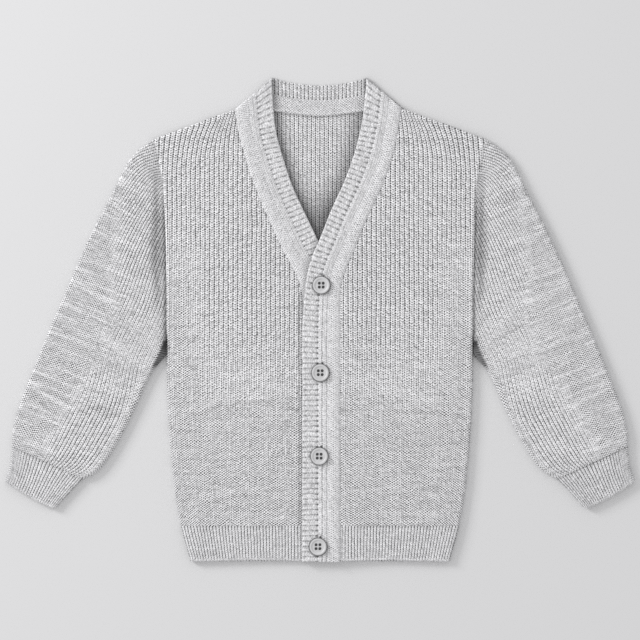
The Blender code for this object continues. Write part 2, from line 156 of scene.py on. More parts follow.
# The sleeve's outer fold and its underarm fold
SLEEVE_EDGES = table(
    "outer_x outer_y inner_x inner_y",
    (163.3, 413.3, HALF_CHEST + 0.5, 218.6),
    (180.8, 400, 151.4, 215.4),
    (204.2, 359.4, 153.8, 209),
    (229, 310.4, 158.0, 199.2),
    (250.2, 261.8, 164, 186.6),
    (266, 225, 171.8, 170.8),
    (277, 198, 181.6, 149.1),
    (286.5, 173.5, 193.6, 125),
    (296.2, 147, 207.6, 101),
    (301, 127, 219.8, 87),
    (301.4, 113, 233.2, 80.3),
)

# The line that the sleeve's ribs keep their distance from: its outer fold, then straight on
GRAIN = {
    "x": np.append(SLEEVE_EDGES["outer_x"][:7], (295.3, 313.5)),
    "y": np.append(SLEEVE_EDGES["outer_y"][:7], (158.4, 118.8)),
}

CUFF_EDGES = table(
    "outer_x outer_y inner_x inner_y",
    (301.5, 112.6, 233.5, 79.9),
    (302.4, 101, 241.5, 71.6),
    (304.6, 89.6, 250, 62.4),
    (308.6, 78.6, 259.7, 51.5),
)

# How far the body's ribs lean towards the neck at the shoulder fold
LEAN = table(
    "wale lean",
    (0, 0),
    (70, 2.0),
    (84, 5.0),
    (97, 8.5),
    (110, 11.0),
    (124, 9.0),
    (138, 6.0),
    (150, 3.0),
    (163, 1.0),
)

BUTTONS = table(
    "x y",
    (-1.9, 15.1),
    (-0.7, 103.5),
    (0.3, 185.0),
    (1.3, 270.5),
)

# How the neck band's seam edge rounds over, up from the seam and down from the face
SEAM_ROWS = table("up fall", (-0.5, 1.6), (0.0, 0.5), (0.5, 0.1), (1.0, -0.25), (1.6, -0.35))

# Soft troughs across the fronts, by how far out and how high they start and end
FRONT_CREASES = table(
    "from_x from_y to_x to_y width depth",
    (26, 121, 74, 114, 7, 0.8),
    (66, 107, 142, 112, 8, 0.9),
    (52, 193, 128, 186, 9, 0.6),
    (24, 176, 60, 187, 7, 0.4),
    (96, 70, 141, 62, 7, 0.5),
    (110, 262, 149, 250, 8, 0.5),
    (58, 318, 104, 342, 9, 0.4),
)

BACK_CREASES = table(
    "from_x from_y to_x to_y width depth",
    (-128, 108, -38, 117, 8, 0.7),
    (-20, 122, 92, 111, 9, 0.8),
    (-96, 196, 34, 188, 9, 0.6),
    (60, 250, 142, 262, 8, 0.6),
    (-140, 300, -70, 282, 8, 0.5),
)

SLEEVE_CREASES = table(
    "from_x from_y to_x to_y width depth",
    (159.5, 392, 158, 250, 4.6, 1.9),
    (160, 330, 159, 262, 6.0, 0.8),
    (166, 205, 196, 232, 5, 0.9),
    (176, 178, 214, 196, 6, 0.8),
    (192, 142, 226, 150, 6, 0.7),
    (268, 150, 296, 138, 6, 0.5),
)


def smooth(at: Array | float, knots: Array, values: Array) -> Array:
    """The smooth curve through (knots, values) at each place: cubic Hermite pieces.

    Args:
        at: the places.
        knots: where the values are known.
        values: the values there.

    Returns:
        The value at each place.
    """
    at = np.clip(np.asarray(at, float), knots[0], knots[-1])
    slopes = np.gradient(values, knots)
    piece = np.clip(np.searchsorted(knots, at) - 1, 0, len(knots) - 2)
    step = knots[piece + 1] - knots[piece]
    t = (at - knots[piece]) / step
    start = (1 + 2 * t) * (1 - t) ** 2 * values[piece] + t * (1 - t) ** 2 * step * slopes[piece]
    end = t**2 * (3 - 2 * t) * values[piece + 1] - t**2 * (1 - t) * step * slopes[piece + 1]
    return start + end


def ease(t: Array | float) -> Array:
    """A rise from 0 to 1 that starts and ends level."""
    t = np.clip(t, 0, 1)
    return t * t * (3 - 2 * t)


def round_off(inset: Array, radius: float = FOLD) -> Array:
    """The height of a quarter circle, from 0 at an edge to 1 at its radius inside it."""
    return np.sqrt(np.clip(1 - (1 - np.clip(inset / radius, 0, 1)) ** 2, 0, 1))


def bell(distance: Array, width: float) -> Array:
    """A soft hump, 1 in the middle and small past its width."""
    return np.exp(-((distance / width) ** 2))


@dataclass(frozen=True)
class Rise:
    """A soft rise from 0 to 1: where it starts and how long it is."""

    start: float
    length: float

    def __call__(self, place: Array) -> Array:
        """How far it has risen at each place."""
        return ease((place - self.start) / self.length)


@dataclass(frozen=True)
class Hump:
    """A soft hump: how high and how wide it is, and where its middle is."""

    size: float
    width: float
    at: float = 0.0

    def __call__(self, place: Array) -> Array:
        """Its height at each place."""
        return self.size * bell(place - self.at, self.width)

    def past(self, place: Array) -> Array:
        """The same, but at its full height everywhere before its middle."""
        return self.size * bell(np.maximum(place - self.at, 0), self.width)


ARMHOLE = Rise(UNDERARM, 8)  # up the side, from its closed fold to the open armhole
NECK = Rise(238, 40)  # up the bands, from the straight front to the V


def uneven(x: Array, y: Array, seed: int) -> Array:
    """Soft random numbers from -1 to 1 over a plane, drawn at whole places and eased between.

    Args:
        x: the place across.
        y: the place along.
        seed: which draws to use.

    Returns:
        The number at each point.
    """
    draws = np.random.default_rng(seed).uniform(-1, 1, (64, 64))
    column, row = np.floor(x).astype(int), np.floor(y).astype(int)
    u, v = ease(x - column), ease(y - row)
    near, far = (
        draws[line % 64, column % 64] * (1 - u) + draws[line % 64, (column + 1) % 64] * u
        for line in (row, row + 1)
    )
    return near * (1 - v) + far * v


def wander(pairs: Array, courses: Array) -> tuple[Array, Array]:
    """Places in the knit, shifted a little from even ones, as real stitches sit.

    Args:
        pairs: the even places across, in pairs.
        courses: the even places along, in stitches.

    Returns:
        The shifted places.
    """
    near = 0.05 * uneven(pairs * 1.1, courses * 0.4, 3)
    wide = 0.05 * uneven(pairs * 0.3, courses * 0.1, 5)
    return pairs + near + wide, courses + 0.3 * uneven(pairs * 0.9, courses * 0.45, 7)


def off_groove(pairs: Array) -> Array:
    """Distance from the nearest groove of the knit, in pairs, from -0.5 to 0.5."""
    return (pairs + 0.5) % 1 - 0.5


def half_width(height: Array) -> Array:
    """Half of the body's width at a height."""
    return smooth(height, SIDE["height"], SIDE["half_width"])


def shoulder_line(x: Array) -> Array:
    """Height of the back's upper edge: a shallow neckline, then the shoulder slope.

    Args:
        x: distance across.

    Returns:
        The height at each distance.
    """
    tip_x, tip_y = SHOULDER_TIP
    sag = (1 - bell(x, NECK_SAG)) / (1 - math.exp(-((NECK_HALF / NECK_SAG) ** 2)))
    neckline = NECK_CENTRE + (NECK_POINT - NECK_CENTRE) * sag
    slope = NECK_POINT + (tip_y - NECK_POINT) * (np.abs(x) - NECK_HALF) / (tip_x - NECK_HALF)
    return np.where(np.abs(x) < NECK_HALF, neckline, slope)


def drawn_in(wale: Array, height: Array) -> Array:
    """How a wale of the body follows its narrower side below the chest, most at the side itself."""
    share = np.clip(wale, 0, 163) / HALF_CHEST
    return np.minimum(half_width(height) - HALF_CHEST, 0) * share**4


def fanned(wale: Array, height: Array) -> Array:
    """X of a rib of the hem, counted in millimetres at its top: it fans out with the hem's side."""
    full = SIDE["half_width"][1]
    return wale + np.sign(wale) * (half_width(height) - full) * (np.abs(wale) / full) ** 2.5


def troughs(x: Array, y: Array, creases: Columns) -> Array:
    """Depth of the soft creases at each point.

    Each crease is a trough along a straight stretch: its depth falls off as a bell across it, and
    it fades towards both of its ends.

    Args:
        x: distance across.
        y: height.
        creases: the table of their ends, widths and depths.

    Returns:
        The depth at each point, in millimetres.
    """
    depth = np.zeros(np.broadcast(x, y).shape)
    for row in zip(*creases.values(), strict=True):
        from_x, from_y, to_x, to_y, width, deep = row
        run = np.array([to_x - from_x, to_y - from_y])
        length = float(np.hypot(*run))
        share = ((x - from_x) * run[0] + (y - from_y) * run[1]) / length**2
        near = np.clip(share, 0, 1)
        off = np.hypot(x - from_x - near * run[0], y - from_y - near * run[1])
        sway = 1 + 0.25 * np.sin(share * 9.4 + from_x)
        depth += deep * bell(off, width * sway) * (0.35 + 0.65 * np.sin(math.pi * near))
    return depth


def lip(tuck: float, steps: int = 6) -> tuple[Array, Array]:
    """How the knit's edge rolls over, from its far side to its face: a half circle of its wall.

    Args:
        tuck: how far in the far side reaches.
        steps: points round the half circle.

    Returns:
        The distance in from the edge and the depth below the face, at each point.
    """
    turn = np.linspace(0, math.pi, steps)
    radius = WALL / 2
    inset = radius - radius * np.sin(turn)
    drop = radius + radius * np.cos(turn)
    return np.concatenate([[tuck], inset]), np.concatenate([[WALL], drop])


def rolled_rows(tuck: float, rows: Array) -> tuple[Array, Array]:
    """Rows of a face, with those of a rolled edge before them.

    Args:
        tuck: how far in the far side of the edge reaches.
        rows: the face's own rows, by their distances from the edge.

    Returns:
        The distance from the edge and the depth below the face, each as a column.
    """
    inset, drop = lip(tuck)
    drops = np.concatenate([drop, np.zeros(len(rows))])
    return np.concatenate([inset, rows])[:, None], drops[:, None]


class Side(Enum):
    """The wearer's side that a piece is on, by the sign of its X."""

    LEFT = 1
    RIGHT = -1

    @property
    def label(self) -> str:
        """The word for it in the names of pieces."""
        return self.name.lower()


class Facing(Enum):
    """Which way a skin mostly faces."""

    UP = 1
    DOWN = -1


@dataclass(frozen=True)
class Gauge:
    """The size of a knit's stitches, in millimetres."""

    pair: float  # a rib and the groove beside it
    course: float  # the height of a stitch
    groove: float  # depth of the groove
    split: float  # depth of the line down the middle of a rib
    swell: float  # how much each stitch stands out

    def relief(self, pairs: Array, courses: Array, rib: Array) -> Array:
        """Depth of the knit below its crowns.

        The groove is a pointed valley once in each pair and the split a shallower one half a pair
        on. Where the rib is less clear the two grow alike. Each stitch swells between the courses,
        by a cosine that comes later beside a rib than in its middle.

        Args:
            pairs: the place across the knit, counted in pairs.
            courses: the place along it, counted in stitches.
            rib: how clear the rib is, from 0 to 1, and below 0 where the knit is smooth.

        Returns:
            The depth at each point, never negative.
        """
        off = np.abs(off_groove(pairs))
        valley = np.clip(1 - off / 0.3, 0, 1) ** 1.4
        middle = np.clip(1 - (0.5 - off) / 0.2, 0, 1) ** 1.4
        wave = 0.5 + 0.5 * np.cos(ONE_TURN * (courses - SLANT * (0.5 - off)))
        calm, rib = 1 + np.minimum(rib, 0), np.maximum(rib, 0)
        deep = self.groove * (0.5 + 0.5 * rib) * valley * (0.6 + 0.4 * wave)
        shallow = (self.split + 0.35 * self.groove * (1 - rib)) * middle * (0.6 + 0.4 * wave)
        return (deep + shallow + self.swell * wave) * calm


BODY_GAUGE = Gauge(pair=4.6, course=2.35, groove=1.15, split=0.25, swell=0.28)
INSIDE_GAUGE = Gauge(pair=4.17, course=2.35, groove=1.0, split=0.35, swell=0.25)
SLEEVE_GAUGE = Gauge(pair=3.8, course=2.35, groove=1.1, split=0.1, swell=0.22)
HEM_GAUGE = Gauge(pair=3.09, course=2.2, groove=1.0, split=0.05, swell=0.16)
CUFF_GAUGE = Gauge(pair=3.6, course=2.2, groove=1.0, split=0.1, swell=0.16)
BAND_GAUGE = Gauge(pair=5.1, course=2.4, groove=0.48, split=0.18, swell=0.16)
NECK_GAUGE = Gauge(pair=3.7, course=2.4, groove=0.9, split=0.1, swell=0.16)
PLAIN_GAUGE = Gauge(pair=4.6, course=2.2, groove=0.2, split=0.14, swell=0.07)


@dataclass
class Skin:
    """A grid of points on a face of the knit, with its place in the knit at each point."""

    points: Array  # rows, columns, 3, in millimetres
    pairs: Array
    courses: Array
    rib: Array  # how clear the rib is, up to 1, and below 0 where the knit is smooth
    tone: Array  # painted shade, with a few uneven streaks, up to 1; below 0 it is painted paler
    facing: Facing = Facing.UP
    finish: int = 0

    def __post_init__(self) -> None:
        """Spreads each value over the whole grid."""
        for name in ("pairs", "courses", "rib", "tone"):
            setattr(self, name, np.broadcast_to(getattr(self, name), self.points.shape[:2]))

    def part(self, rows: slice = slice(None), columns: slice = slice(None)) -> "Skin":
        """Some of the skin's rows and columns, as a skin of their own."""
        names = ("points", "pairs", "courses", "rib", "tone")
        return replace(self, **{name: getattr(self, name)[rows, columns] for name in names})

    def normals(self) -> Array:
        """Outward directions, from the cross product of the grid's two directions.

        Returns:
            A direction of length 1 at each point.
        """
        across = np.gradient(self.points, axis=1)
        along = np.gradient(self.points, axis=0)
        normal = np.cross(across, along)
        size = np.linalg.norm(normal, axis=-1, keepdims=True)
        plain = np.array([0, 0, float(self.facing.value)])
        turned = np.sign(normal[..., 2].sum()) * self.facing.value
        return np.where(size > 1e-7, turned * normal / np.maximum(size, 1e-7), plain)

    def pressed(self, depth: Array) -> "Skin":
        """The skin with each point moved in by a depth, against its outward direction."""
        return replace(self, points=self.points - self.normals() * depth[..., None])

    def knitted(self, gauge: Gauge, share: Array) -> "Skin":
        """The skin with that share of its knit's relief pressed into it."""
        return self.pressed(gauge.relief(self.pairs, self.courses, self.rib) * share)

    def triangles(self) -> Array:
        """Vertex numbers of the grid's triangles, their diagonals alternating, facing outwards.

        Returns:
            Three vertex numbers to a triangle.
        """
        rows, columns = self.points.shape[:2]
        index = np.arange(rows * columns).reshape(rows, columns)
        a, b, c, d = index[:-1, :-1], index[:-1, 1:], index[1:, 1:], index[1:, :-1]
        even = (np.add.outer(np.arange(rows - 1), np.arange(columns - 1)) % 2 == 0)[..., None]
        one = np.where(even, np.stack([a, b, c], -1), np.stack([a, b, d], -1))
        two = np.where(even, np.stack([a, c, d], -1), np.stack([b, c, d], -1))
        faces = np.concatenate([one.reshape(-1, 3), two.reshape(-1, 3)])
        up = np.cross(*sides_of(self.points.reshape(-1, 3)[faces]))[:, 2].sum()
        return faces if up * self.facing.value > 0 else faces[:, ::-1]


def sides_of(corners: Array) -> tuple[Array, Array]:
    """Two sides of each triangle, from its corners."""
    return corners[:, 1] - corners[:, 0], corners[:, 2] - corners[:, 0]


def laid(x: Array, y: Array, z: Array) -> Array:
    """Points from their three distances, spread over the whole grid."""
    return np.stack(np.broadcast_arrays(x, y, z), -1)


def knit_object(
    name: str, skins: list[Skin], finishes: list[bpy.types.Material]
) -> bpy.types.Object:
    """Joins skins into one mesh object.

    Points that meet are welded, by rounding them to a thousandth of a millimetre, and triangles
    that have no area are left out. Each corner keeps its place in the knit in the UV map "knit",
    and its rib and the shade painted into its colour in the UV map "place".

    Args:
        name: the piece's name.
        skins: its faces.
        finishes: the materials that the skins' finish numbers mean.

    Returns:
        The new object, at the origin, in metres.
    """
    points = np.concatenate([skin.points.reshape(-1, 3) for skin in skins])
    corner_place = np.concatenate(
        [
            np.stack([skin.pairs, skin.courses, skin.rib, skin.tone], -1).reshape(-1, 4)
            for skin in skins
        ]
    )
    faces, looks, start = [], [], 0
    for skin in skins:
        found = skin.triangles() + start
        faces.append(found)
        looks.append(np.full(len(found), skin.finish))
        start += skin.pairs.size
    triangles, look = np.concatenate(faces), np.concatenate(looks)
    _, first, welded = np.unique(
        np.round(points * 1000).astype(np.int64), axis=0, return_index=True, return_inverse=True
    )
    ends = welded.reshape(-1)[triangles]
    area = np.linalg.norm(np.cross(*sides_of(points[first][ends])), axis=1)
    distinct = (ends != np.roll(ends, 1, axis=1)).all(axis=1)
    keep = distinct & (area > 1e-5)
    triangles, ends, look = triangles[keep], ends[keep], look[keep]
    used, packed = np.unique(ends, return_inverse=True)
    packed = packed.reshape(-1)
    places_m = (points[first][used] - [0, MIDDLE, 0]) * MM
    mesh = bpy.data.meshes.new(name)
    mesh.vertices.add(len(places_m))
    mesh.vertices.foreach_set("co", places_m.astype(np.float32).ravel())
    mesh.loops.add(len(packed))
    mesh.loops.foreach_set("vertex_index", packed.astype(np.int32))
    mesh.polygons.add(len(triangles))
    mesh.polygons.foreach_set("loop_start", np.arange(0, len(packed), 3, dtype=np.int32))
    mesh.polygons.foreach_set("material_index", look.astype(np.int32))
    mesh.update(calc_edges=True)
    values = corner_place[triangles.reshape(-1)].astype(np.float32)
    values[:, :2] += 61 * len(bpy.data.objects)  # so that no two pieces have the same yarn
    for layer, pair in (("knit", values[:, :2]), ("place", values[:, 2:])):
        uv = mesh.uv_layers.new(name=layer).uv
        uv.foreach_set("vector", np.ascontiguousarray(pair).ravel())
    mesh.uv_layers["knit"].active_render = True
    mesh.shade_smooth()
    for finish in finishes:
        mesh.materials.append(finish)
    obj = bpy.data.objects.new(name, mesh)
    bpy.context.scene.collection.objects.link(obj)
    return obj


@dataclass(frozen=True)
class Cut:
    """What shows of a piece's cloth, laid out flat, in millimetres."""

    width: float
    length: float
    area: float
    slot: str  # the name of its finish's slot in the record
    rests_on: tuple[str, ...] = ()  # the names of what it lies on

    def sew(self, node: str, skins: list[Skin], *finishes: bpy.types.Material) -> None:
        """Makes the piece, attaches it to the frame's body and hides the node that it stands for.

        Args:
            node: the node of the frame that it stands for.
            skins: its faces.
            finishes: the materials that the skins' finish numbers mean.
        """
        obj = knit_object(f"knit_{node}", skins, list(finishes))
        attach(obj, "root")
        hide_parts(node)
        LOG.info("%s: %d triangles", obj.name, len(obj.data.polygons))


@dataclass(frozen=True)
class Term:
    """A socket in a formula: each step of arithmetic on it adds the node that works it out."""

    graph: "Graph"
    socket: bpy.types.NodeSocket

    def __add__(self, other: "Term | float") -> "Term":
        """The sum."""
        return self.graph.math("ADD", self, other)

    def __sub__(self, other: "Term | float") -> "Term":
        """What is left of it."""
        return self.graph.math("SUBTRACT", self, other)

    def __rsub__(self, other: float) -> "Term":
        """What it leaves of a number."""
        return self.graph.math("SUBTRACT", other, self)

    def __mul__(self, other: "Term | float") -> "Term":
        """The product."""
        return self.graph.math("MULTIPLY", self, other)

    __radd__, __rmul__ = __add__, __mul__

    def __abs__(self) -> "Term":
        """Its size, without its sign."""
        return self.graph.math("ABSOLUTE", self)

    def at_least(self, low: float) -> "Term":
        """The larger of it and a number."""
        return self.graph.math("MAXIMUM", self, low)

    def at_most(self, high: float) -> "Term":
        """The smaller of it and a number."""
        return self.graph.math("MINIMUM", self, high)

    def whole(self) -> "Term":
        """Its whole part."""
        return self.graph.math("FLOOR", self)

    def fraction(self) -> "Term":
        """What is left of it past its whole part."""
        return self.graph.math("FRACT", self)

    def cosine(self) -> "Term":
        """Its cosine, with one wave to each whole number."""
        return self.graph.math("COSINE", self * ONE_TURN)

    def rise(self, low: float, high: float) -> "Term":
        """A soft rise from 0 to 1 as it goes from low to high."""
        names = ("Value", "From Min", "From Max")
        inputs = dict(zip(names, (self, low, high), strict=True))
        return self.graph.value("MapRange", inputs, interpolation_type="SMOOTHSTEP")


class Graph:
    """A node tree with short ways to add and join its nodes."""

    def __init__(self, tree: bpy.types.NodeTree) -> None:
        """Keeps the tree."""
        self.tree = tree

    def node(self, kind: str, inputs: dict | None = None, **settings: object) -> bpy.types.Node:
        """Adds a node.

        Args:
            kind: the node's type, without its ShaderNode prefix.
            inputs: values or terms for its inputs, by name or number.
            settings: its own settings.

        Returns:
            The node.
        """
        made = self.tree.nodes.new("ShaderNode" + kind)
        for name, value in settings.items():
            setattr(made, name, value)
        self.fill(made.inputs, inputs or {})
        return made

    def fill(self, sockets: object, values: dict) -> None:
        """Links each named socket to its term, or sets it to its value.

        Args:
            sockets: a node's inputs.
            values: terms or values, by the names of the inputs.
        """
        for name, value in values.items():
            if isinstance(value, Term):
                self.tree.links.new(value.socket, sockets[name])
            else:
                sockets[name].default_value = value

    def value(self, kind: str, inputs: dict, output: int | str = 0, **settings: object) -> Term:
        """Adds a node and takes one of its outputs."""
        return Term(self, self.node(kind, inputs, **settings).outputs[output])

    def math(self, operation: str, *values: Term | float) -> Term:
        """One step of arithmetic on terms or numbers."""
        return self.value("Math", dict(enumerate(values)), operation=operation)

    def vector(self, x: Term, y: Term) -> Term:
        """A vector of two numbers."""
        return self.value("CombineXYZ", {"X": x, "Y": y})

    def parts(self, vector: Term) -> tuple[Term, Term]:
        """The first two numbers of a vector."""
        split = self.node("SeparateXYZ", {"Vector": vector}).outputs
        return Term(self, split["X"]), Term(self, split["Y"])

    def noise(self, x: Term, y: Term, rough: float = 0.5) -> Term:
        """Soft noise on a flat pattern, about 0.5 on average."""
        inputs = {"Vector": self.vector(x, y), "Scale": 1.0, "Detail": 2.0, "Roughness": rough}
        return self.value("TexNoise", inputs, noise_dimensions="2D")

    def grain(self, scale: float, detail: float = 2.0) -> Term:
        """Soft noise through a solid, by the places of its own points."""
        place = self.value("TexCoord", {}, "Object")
        return self.value("TexNoise", {"Vector": place, "Scale": scale, "Detail": detail})

    def draw(self, x: Term, y: Term) -> Term:
        """A random number for each whole cell of two numbers."""
        cell = self.vector(x.whole(), y.whole())
        return self.value("TexWhiteNoise", {"Vector": cell}, "Value", noise_dimensions="2D")

    def map(self, name: str) -> tuple[Term, Term]:
        """The two numbers that a piece keeps in one of its maps."""
        return self.parts(self.value("UVMap", {}, uv_map=name))

    def mix(self, share: Term, first: object, second: object) -> Term:
        """A colour on the way from the first to the second."""
        inputs = {"Factor": share, "A": first, "B": second}
        return self.value("Mix", inputs, "Result", data_type="RGBA")

    def bump(self, height: Term, strength: float, distance: float) -> Term:
        """Normals that follow a height."""
        return self.value("Bump", {"Height": height, "Strength": strength, "Distance": distance})

    def shared(self, group: bpy.types.NodeTree, inputs: dict) -> dict[str, Term]:
        """Places a node group, and gives its outputs by name."""
        placed = self.node("Group", node_tree=group)
        self.fill(placed.inputs, inputs)
        return {socket.name: Term(self, socket) for socket in placed.outputs}


def grey(tone: float, blue: float = 0.0, green: float = 0.0) -> tuple[float, ...]:
    """A grey, with a little more blue or green in it."""
    return tone, tone + green, tone + blue, 1.0


class SharedGroup:
    """A shader node group of plain numbers, whose first input is a vector."""

    def __init__(self, name: str, inputs: list[str], outputs: list[str]) -> None:
        """Makes the group with its sockets.

        Args:
            name: the group's name.
            inputs: the names of its inputs.
            outputs: the names of its outputs.
        """
        self.tree = bpy.data.node_groups.new(name, "ShaderNodeTree")
        self.graph = Graph(self.tree)
        for number, label in enumerate(inputs):
            kind = "NodeSocketVector" if number == 0 else "NodeSocketFloat"
            self.tree.interface.new_socket(name=label, in_out="INPUT", socket_type=kind)
        for label in outputs:
            self.tree.interface.new_socket(
                name=label, in_out="OUTPUT", socket_type="NodeSocketFloat"
            )
        start = self.tree.nodes.new("NodeGroupInput")
        self.given = {label: Term(self.graph, start.outputs[label]) for label in inputs}

    def finished(self, results: dict[str, Term]) -> bpy.types.NodeTree:
        """The group's tree, with each of its outputs taking its result."""
        end = self.tree.nodes.new("NodeGroupOutput")
        self.graph.fill(end.inputs, results)
        return self.tree


def stitch_group() -> bpy.types.NodeTree:
    """The stitches of the knit, from their place in it.

    Across a pair, shade is painted in the groove and, less, in the split down the rib's middle.
    Along it, the legs of each stitch slant to the middle, with a gap between one stitch and the
    next, painted in shade, darker at some than at others. Dots is how much the gaps stand out from
    the lines. Where Rib is below 0 the knit is smooth: its lines fade to an even grey, its gaps
    grow fainter, and two sets of fine diagonals cross it, each a cosine. Gap is how much shade is
    painted on the place, Height how far the yarn stands out there, and Stitch a number of each
    stitch's own.

    Returns:
        The group's tree.
    """
    group = SharedGroup("knit stitches", ["Place", "Rib", "Dots"], ["Gap", "Height", "Stitch"])
    graph, dotty = group.graph, group.given["Dots"]
    across, along = graph.parts(group.given["Place"])
    ribbed = group.given["Rib"].at_least(0.0)
    calm = group.given["Rib"].at_most(0.0) + 1.0
    off_middle = abs(across.fraction() - 0.5)
    leg = off_middle * -SLANT + along
    half = across * 2.0
    chance = graph.draw(half + 0.5, leg + 0.5) - 0.5
    between = abs(leg.fraction() - 0.5).rise(0.2, 0.45) * (chance * (calm * 0.7 + 0.2) + 1.0)
    line = off_middle.rise(0.28, 0.44) * (ribbed * 0.5 + 0.5)
    middle = off_middle.rise(0.15, 0.03) * (ribbed * -0.3 + 0.62)
    lines = middle * (dotty * 0.23 + 0.17) + line * (dotty * -0.31 + 0.68)
    crowns = off_middle.rise(0.32, 0.12) * (dotty * 0.5 + 0.1)
    dots = between * (line * (dotty * 0.96 + 0.12) + crowns)
    dots = dots * (calm.rise(0.25, 1.0) * 0.65 + 0.35)
    lined = calm * calm
    smoothed = 1.0 - lined
    faint = calm.rise(0.0, 0.4) * 0.55 + 0.45
    rising, falling = ((across * slope + along).cosine() for slope in (MOSS_SLOPE, -MOSS_SLOPE))
    moss = (rising * 0.46 + falling * 0.42) * (chance * 1.2 + 1.0)
    gap = lines * lined + dots + smoothed * 0.235 + moss * (smoothed * faint)
    height = (line + middle) * -0.8 + (1.0 - between * between)
    own = (graph.draw(half, leg) - 0.5) * faint + 0.5
    return group.finished({"Gap": gap, "Height": height, "Stitch": own})


def heather_group() -> bpy.types.NodeTree:
    """The uneven grey of marled yarn, about 0.5 on average.

    Each course has light and dark stretches of its own, and wider clouds lie over several courses.
    Fibre is its soft fuzz, and Fleck the light and dark of its twisted strands.

    Returns:
        The group's tree.
    """
    group = SharedGroup("heather yarn", ["Place"], ["Tone", "Fibre", "Fleck"])
    graph = group.graph
    across, along = graph.parts(group.given["Place"])
    streak = graph.noise(across * 0.2, along.whole() * 3.71)
    cloud = graph.noise(across * 0.1, along * 0.45)
    fibre = graph.noise(across * 3.4, along * 1.8, rough=0.6)
    fleck = graph.draw(across * 5.0, along * 2.5 + across * 1.7)
    return group.finished({"Tone": streak * 0.65 + cloud * 0.35, "Fibre": fibre, "Fleck": fleck})


@dataclass(frozen=True)
class Finish:
    """A finish: the settings of its surface that are the same all over."""

    name: str
    settings: dict[str, float]

    def surface(self, graph: Graph) -> dict[str, Term]:
        """What changes over the surface, by the shader's inputs; a subclass says."""
        raise NotImplementedError

    def material(self) -> bpy.types.Material:
        """Builds the material.

        Returns:
            The material.
        """
        made = bpy.data.materials.new(self.name)
        made.use_nodes = True
        graph = Graph(made.node_tree)
        shader = made.node_tree.nodes["Principled BSDF"]
        graph.fill(shader.inputs, {**self.settings, **self.surface(graph)})
        return made


WOOL = {
    "Roughness": 0.95,
    "Specular IOR Level": 0.25,
    "Sheen Weight": 0.15,
    "Sheen Roughness": 0.5,
}


@dataclass(frozen=True)
class KnitFinish(Finish):
    """A knitted wool finish: heather grey yarn, with shade painted in its gaps."""

    stitches: bpy.types.NodeTree
    yarn: bpy.types.NodeTree
    pale: float = 0.97  # reflectance of the palest yarn
    dark: float = 0.04  # and of the darkest
    level: float = 0.95  # where the yarn lies between the two, 0 to 1
    gap: float = 1.1  # how much shade is painted in its gaps
    dots: float = 1.0  # how much they stand out from their lines
    heather: float = 0.38  # how uneven the yarn is
    fleck: float = 0.4  # and how speckled
    own: float = 0.3  # how much single stitches differ

    def surface(self, graph: Graph) -> dict[str, Term]:
        """The colour and the small relief of the yarn.

        The colour runs from dark to pale yarn by a share: the level, plus the parts of the
        heather, the flecks and the stitch, less the shade painted in the gaps, and all of it lower
        by the shade painted on the piece. Where the rib is less clear the heather shows more, and
        single stitches less.

        Args:
            graph: the material's graph.

        Returns:
            The base colour and the normals.
        """
        knit = graph.value("UVMap", {}, uv_map="knit")
        rib, shade = graph.map("place")
        stitch = graph.shared(self.stitches, {"Place": knit, "Rib": rib, "Dots": self.dots})
        yarn = graph.shared(self.yarn, {"Place": knit})
        share = (yarn["Tone"] - 0.5) * (rib * (-0.3 * self.heather) + 1.1 * self.heather)
        share = share + self.level + (yarn["Fleck"] - 0.5) * self.fleck
        share = share + (stitch["Stitch"] - 0.5) * (rib * (0.15 * self.own) + 0.85 * self.own)
        share = share - stitch["Gap"] * self.gap
        dark = grey(self.dark, self.dark * 0.03, self.dark * -0.002)
        pale = grey(self.pale, self.pale * 0.012, self.pale * -0.002)
        fuzz = yarn["Fibre"] * 0.7 + stitch["Height"]
        return {
            "Base Color": graph.mix(share.at_least(0.0) * (1.0 - shade), dark, pale),
            "Normal": graph.bump(fuzz, 0.5, 0.0005),
        }


@dataclass(frozen=True)
class ButtonFinish(Finish):
    """Cast grey button plastic: faintly clouded, satin, with fine turning marks round it."""

    def surface(self, graph: Graph) -> dict[str, Term]:
        """A clouded grey, darkened by painted shade, and a fine grain in its sheen and relief.

        Args:
            graph: the material's graph.

        Returns:
            The base colour, roughness and normals.
        """
        cloud = graph.grain(220.0, 3.0).rise(0.3, 0.7)
        cast = graph.mix(cloud, grey(0.6, 0.005), grey(0.67, 0.01))
        _, shade = graph.map("place")
        fine = graph.grain(1500.0)
        return {
            "Base Color": graph.mix(shade, cast, grey(0.05, 0.002)),
            "Roughness": fine * 0.18 + 0.36,
            "Normal": graph.bump(fine, 0.15, 0.0001),
        }


@dataclass(frozen=True)
class ThreadFinish(Finish):
    """Twisted sewing thread: fine slanting plies."""

    def surface(self, graph: Graph) -> dict[str, Term]:
        """Two greys in turn, with the relief of the plies.

        Args:
            graph: the material's graph.

        Returns:
            The base colour and the normals.
        """
        place = graph.value("TexCoord", {}, "Object")
        inputs = {"Vector": place, "Scale": 900.0, "Distortion": 2.0}
        plies = graph.value("TexWave", inputs, "Fac", bands_direction="DIAGONAL")
        return {
            "Base Color": graph.mix(plies, grey(0.22, 0.01), grey(0.42, 0.01)),
            "Normal": graph.bump(plies, 0.4, 0.0002),
        }


@dataclass(frozen=True)
class FloorFinish(Finish):
    """A pale mat surface with a very faint grain."""

    tone: float = 0.742

    def surface(self, graph: Graph) -> dict[str, Term]:
        """Two pale greys by the grain."""
        first, second = grey(self.tone - 0.01, 0.005), grey(self.tone + 0.01, 0.005)
        return {"Base Color": graph.mix(graph.grain(900.0), first, second)}


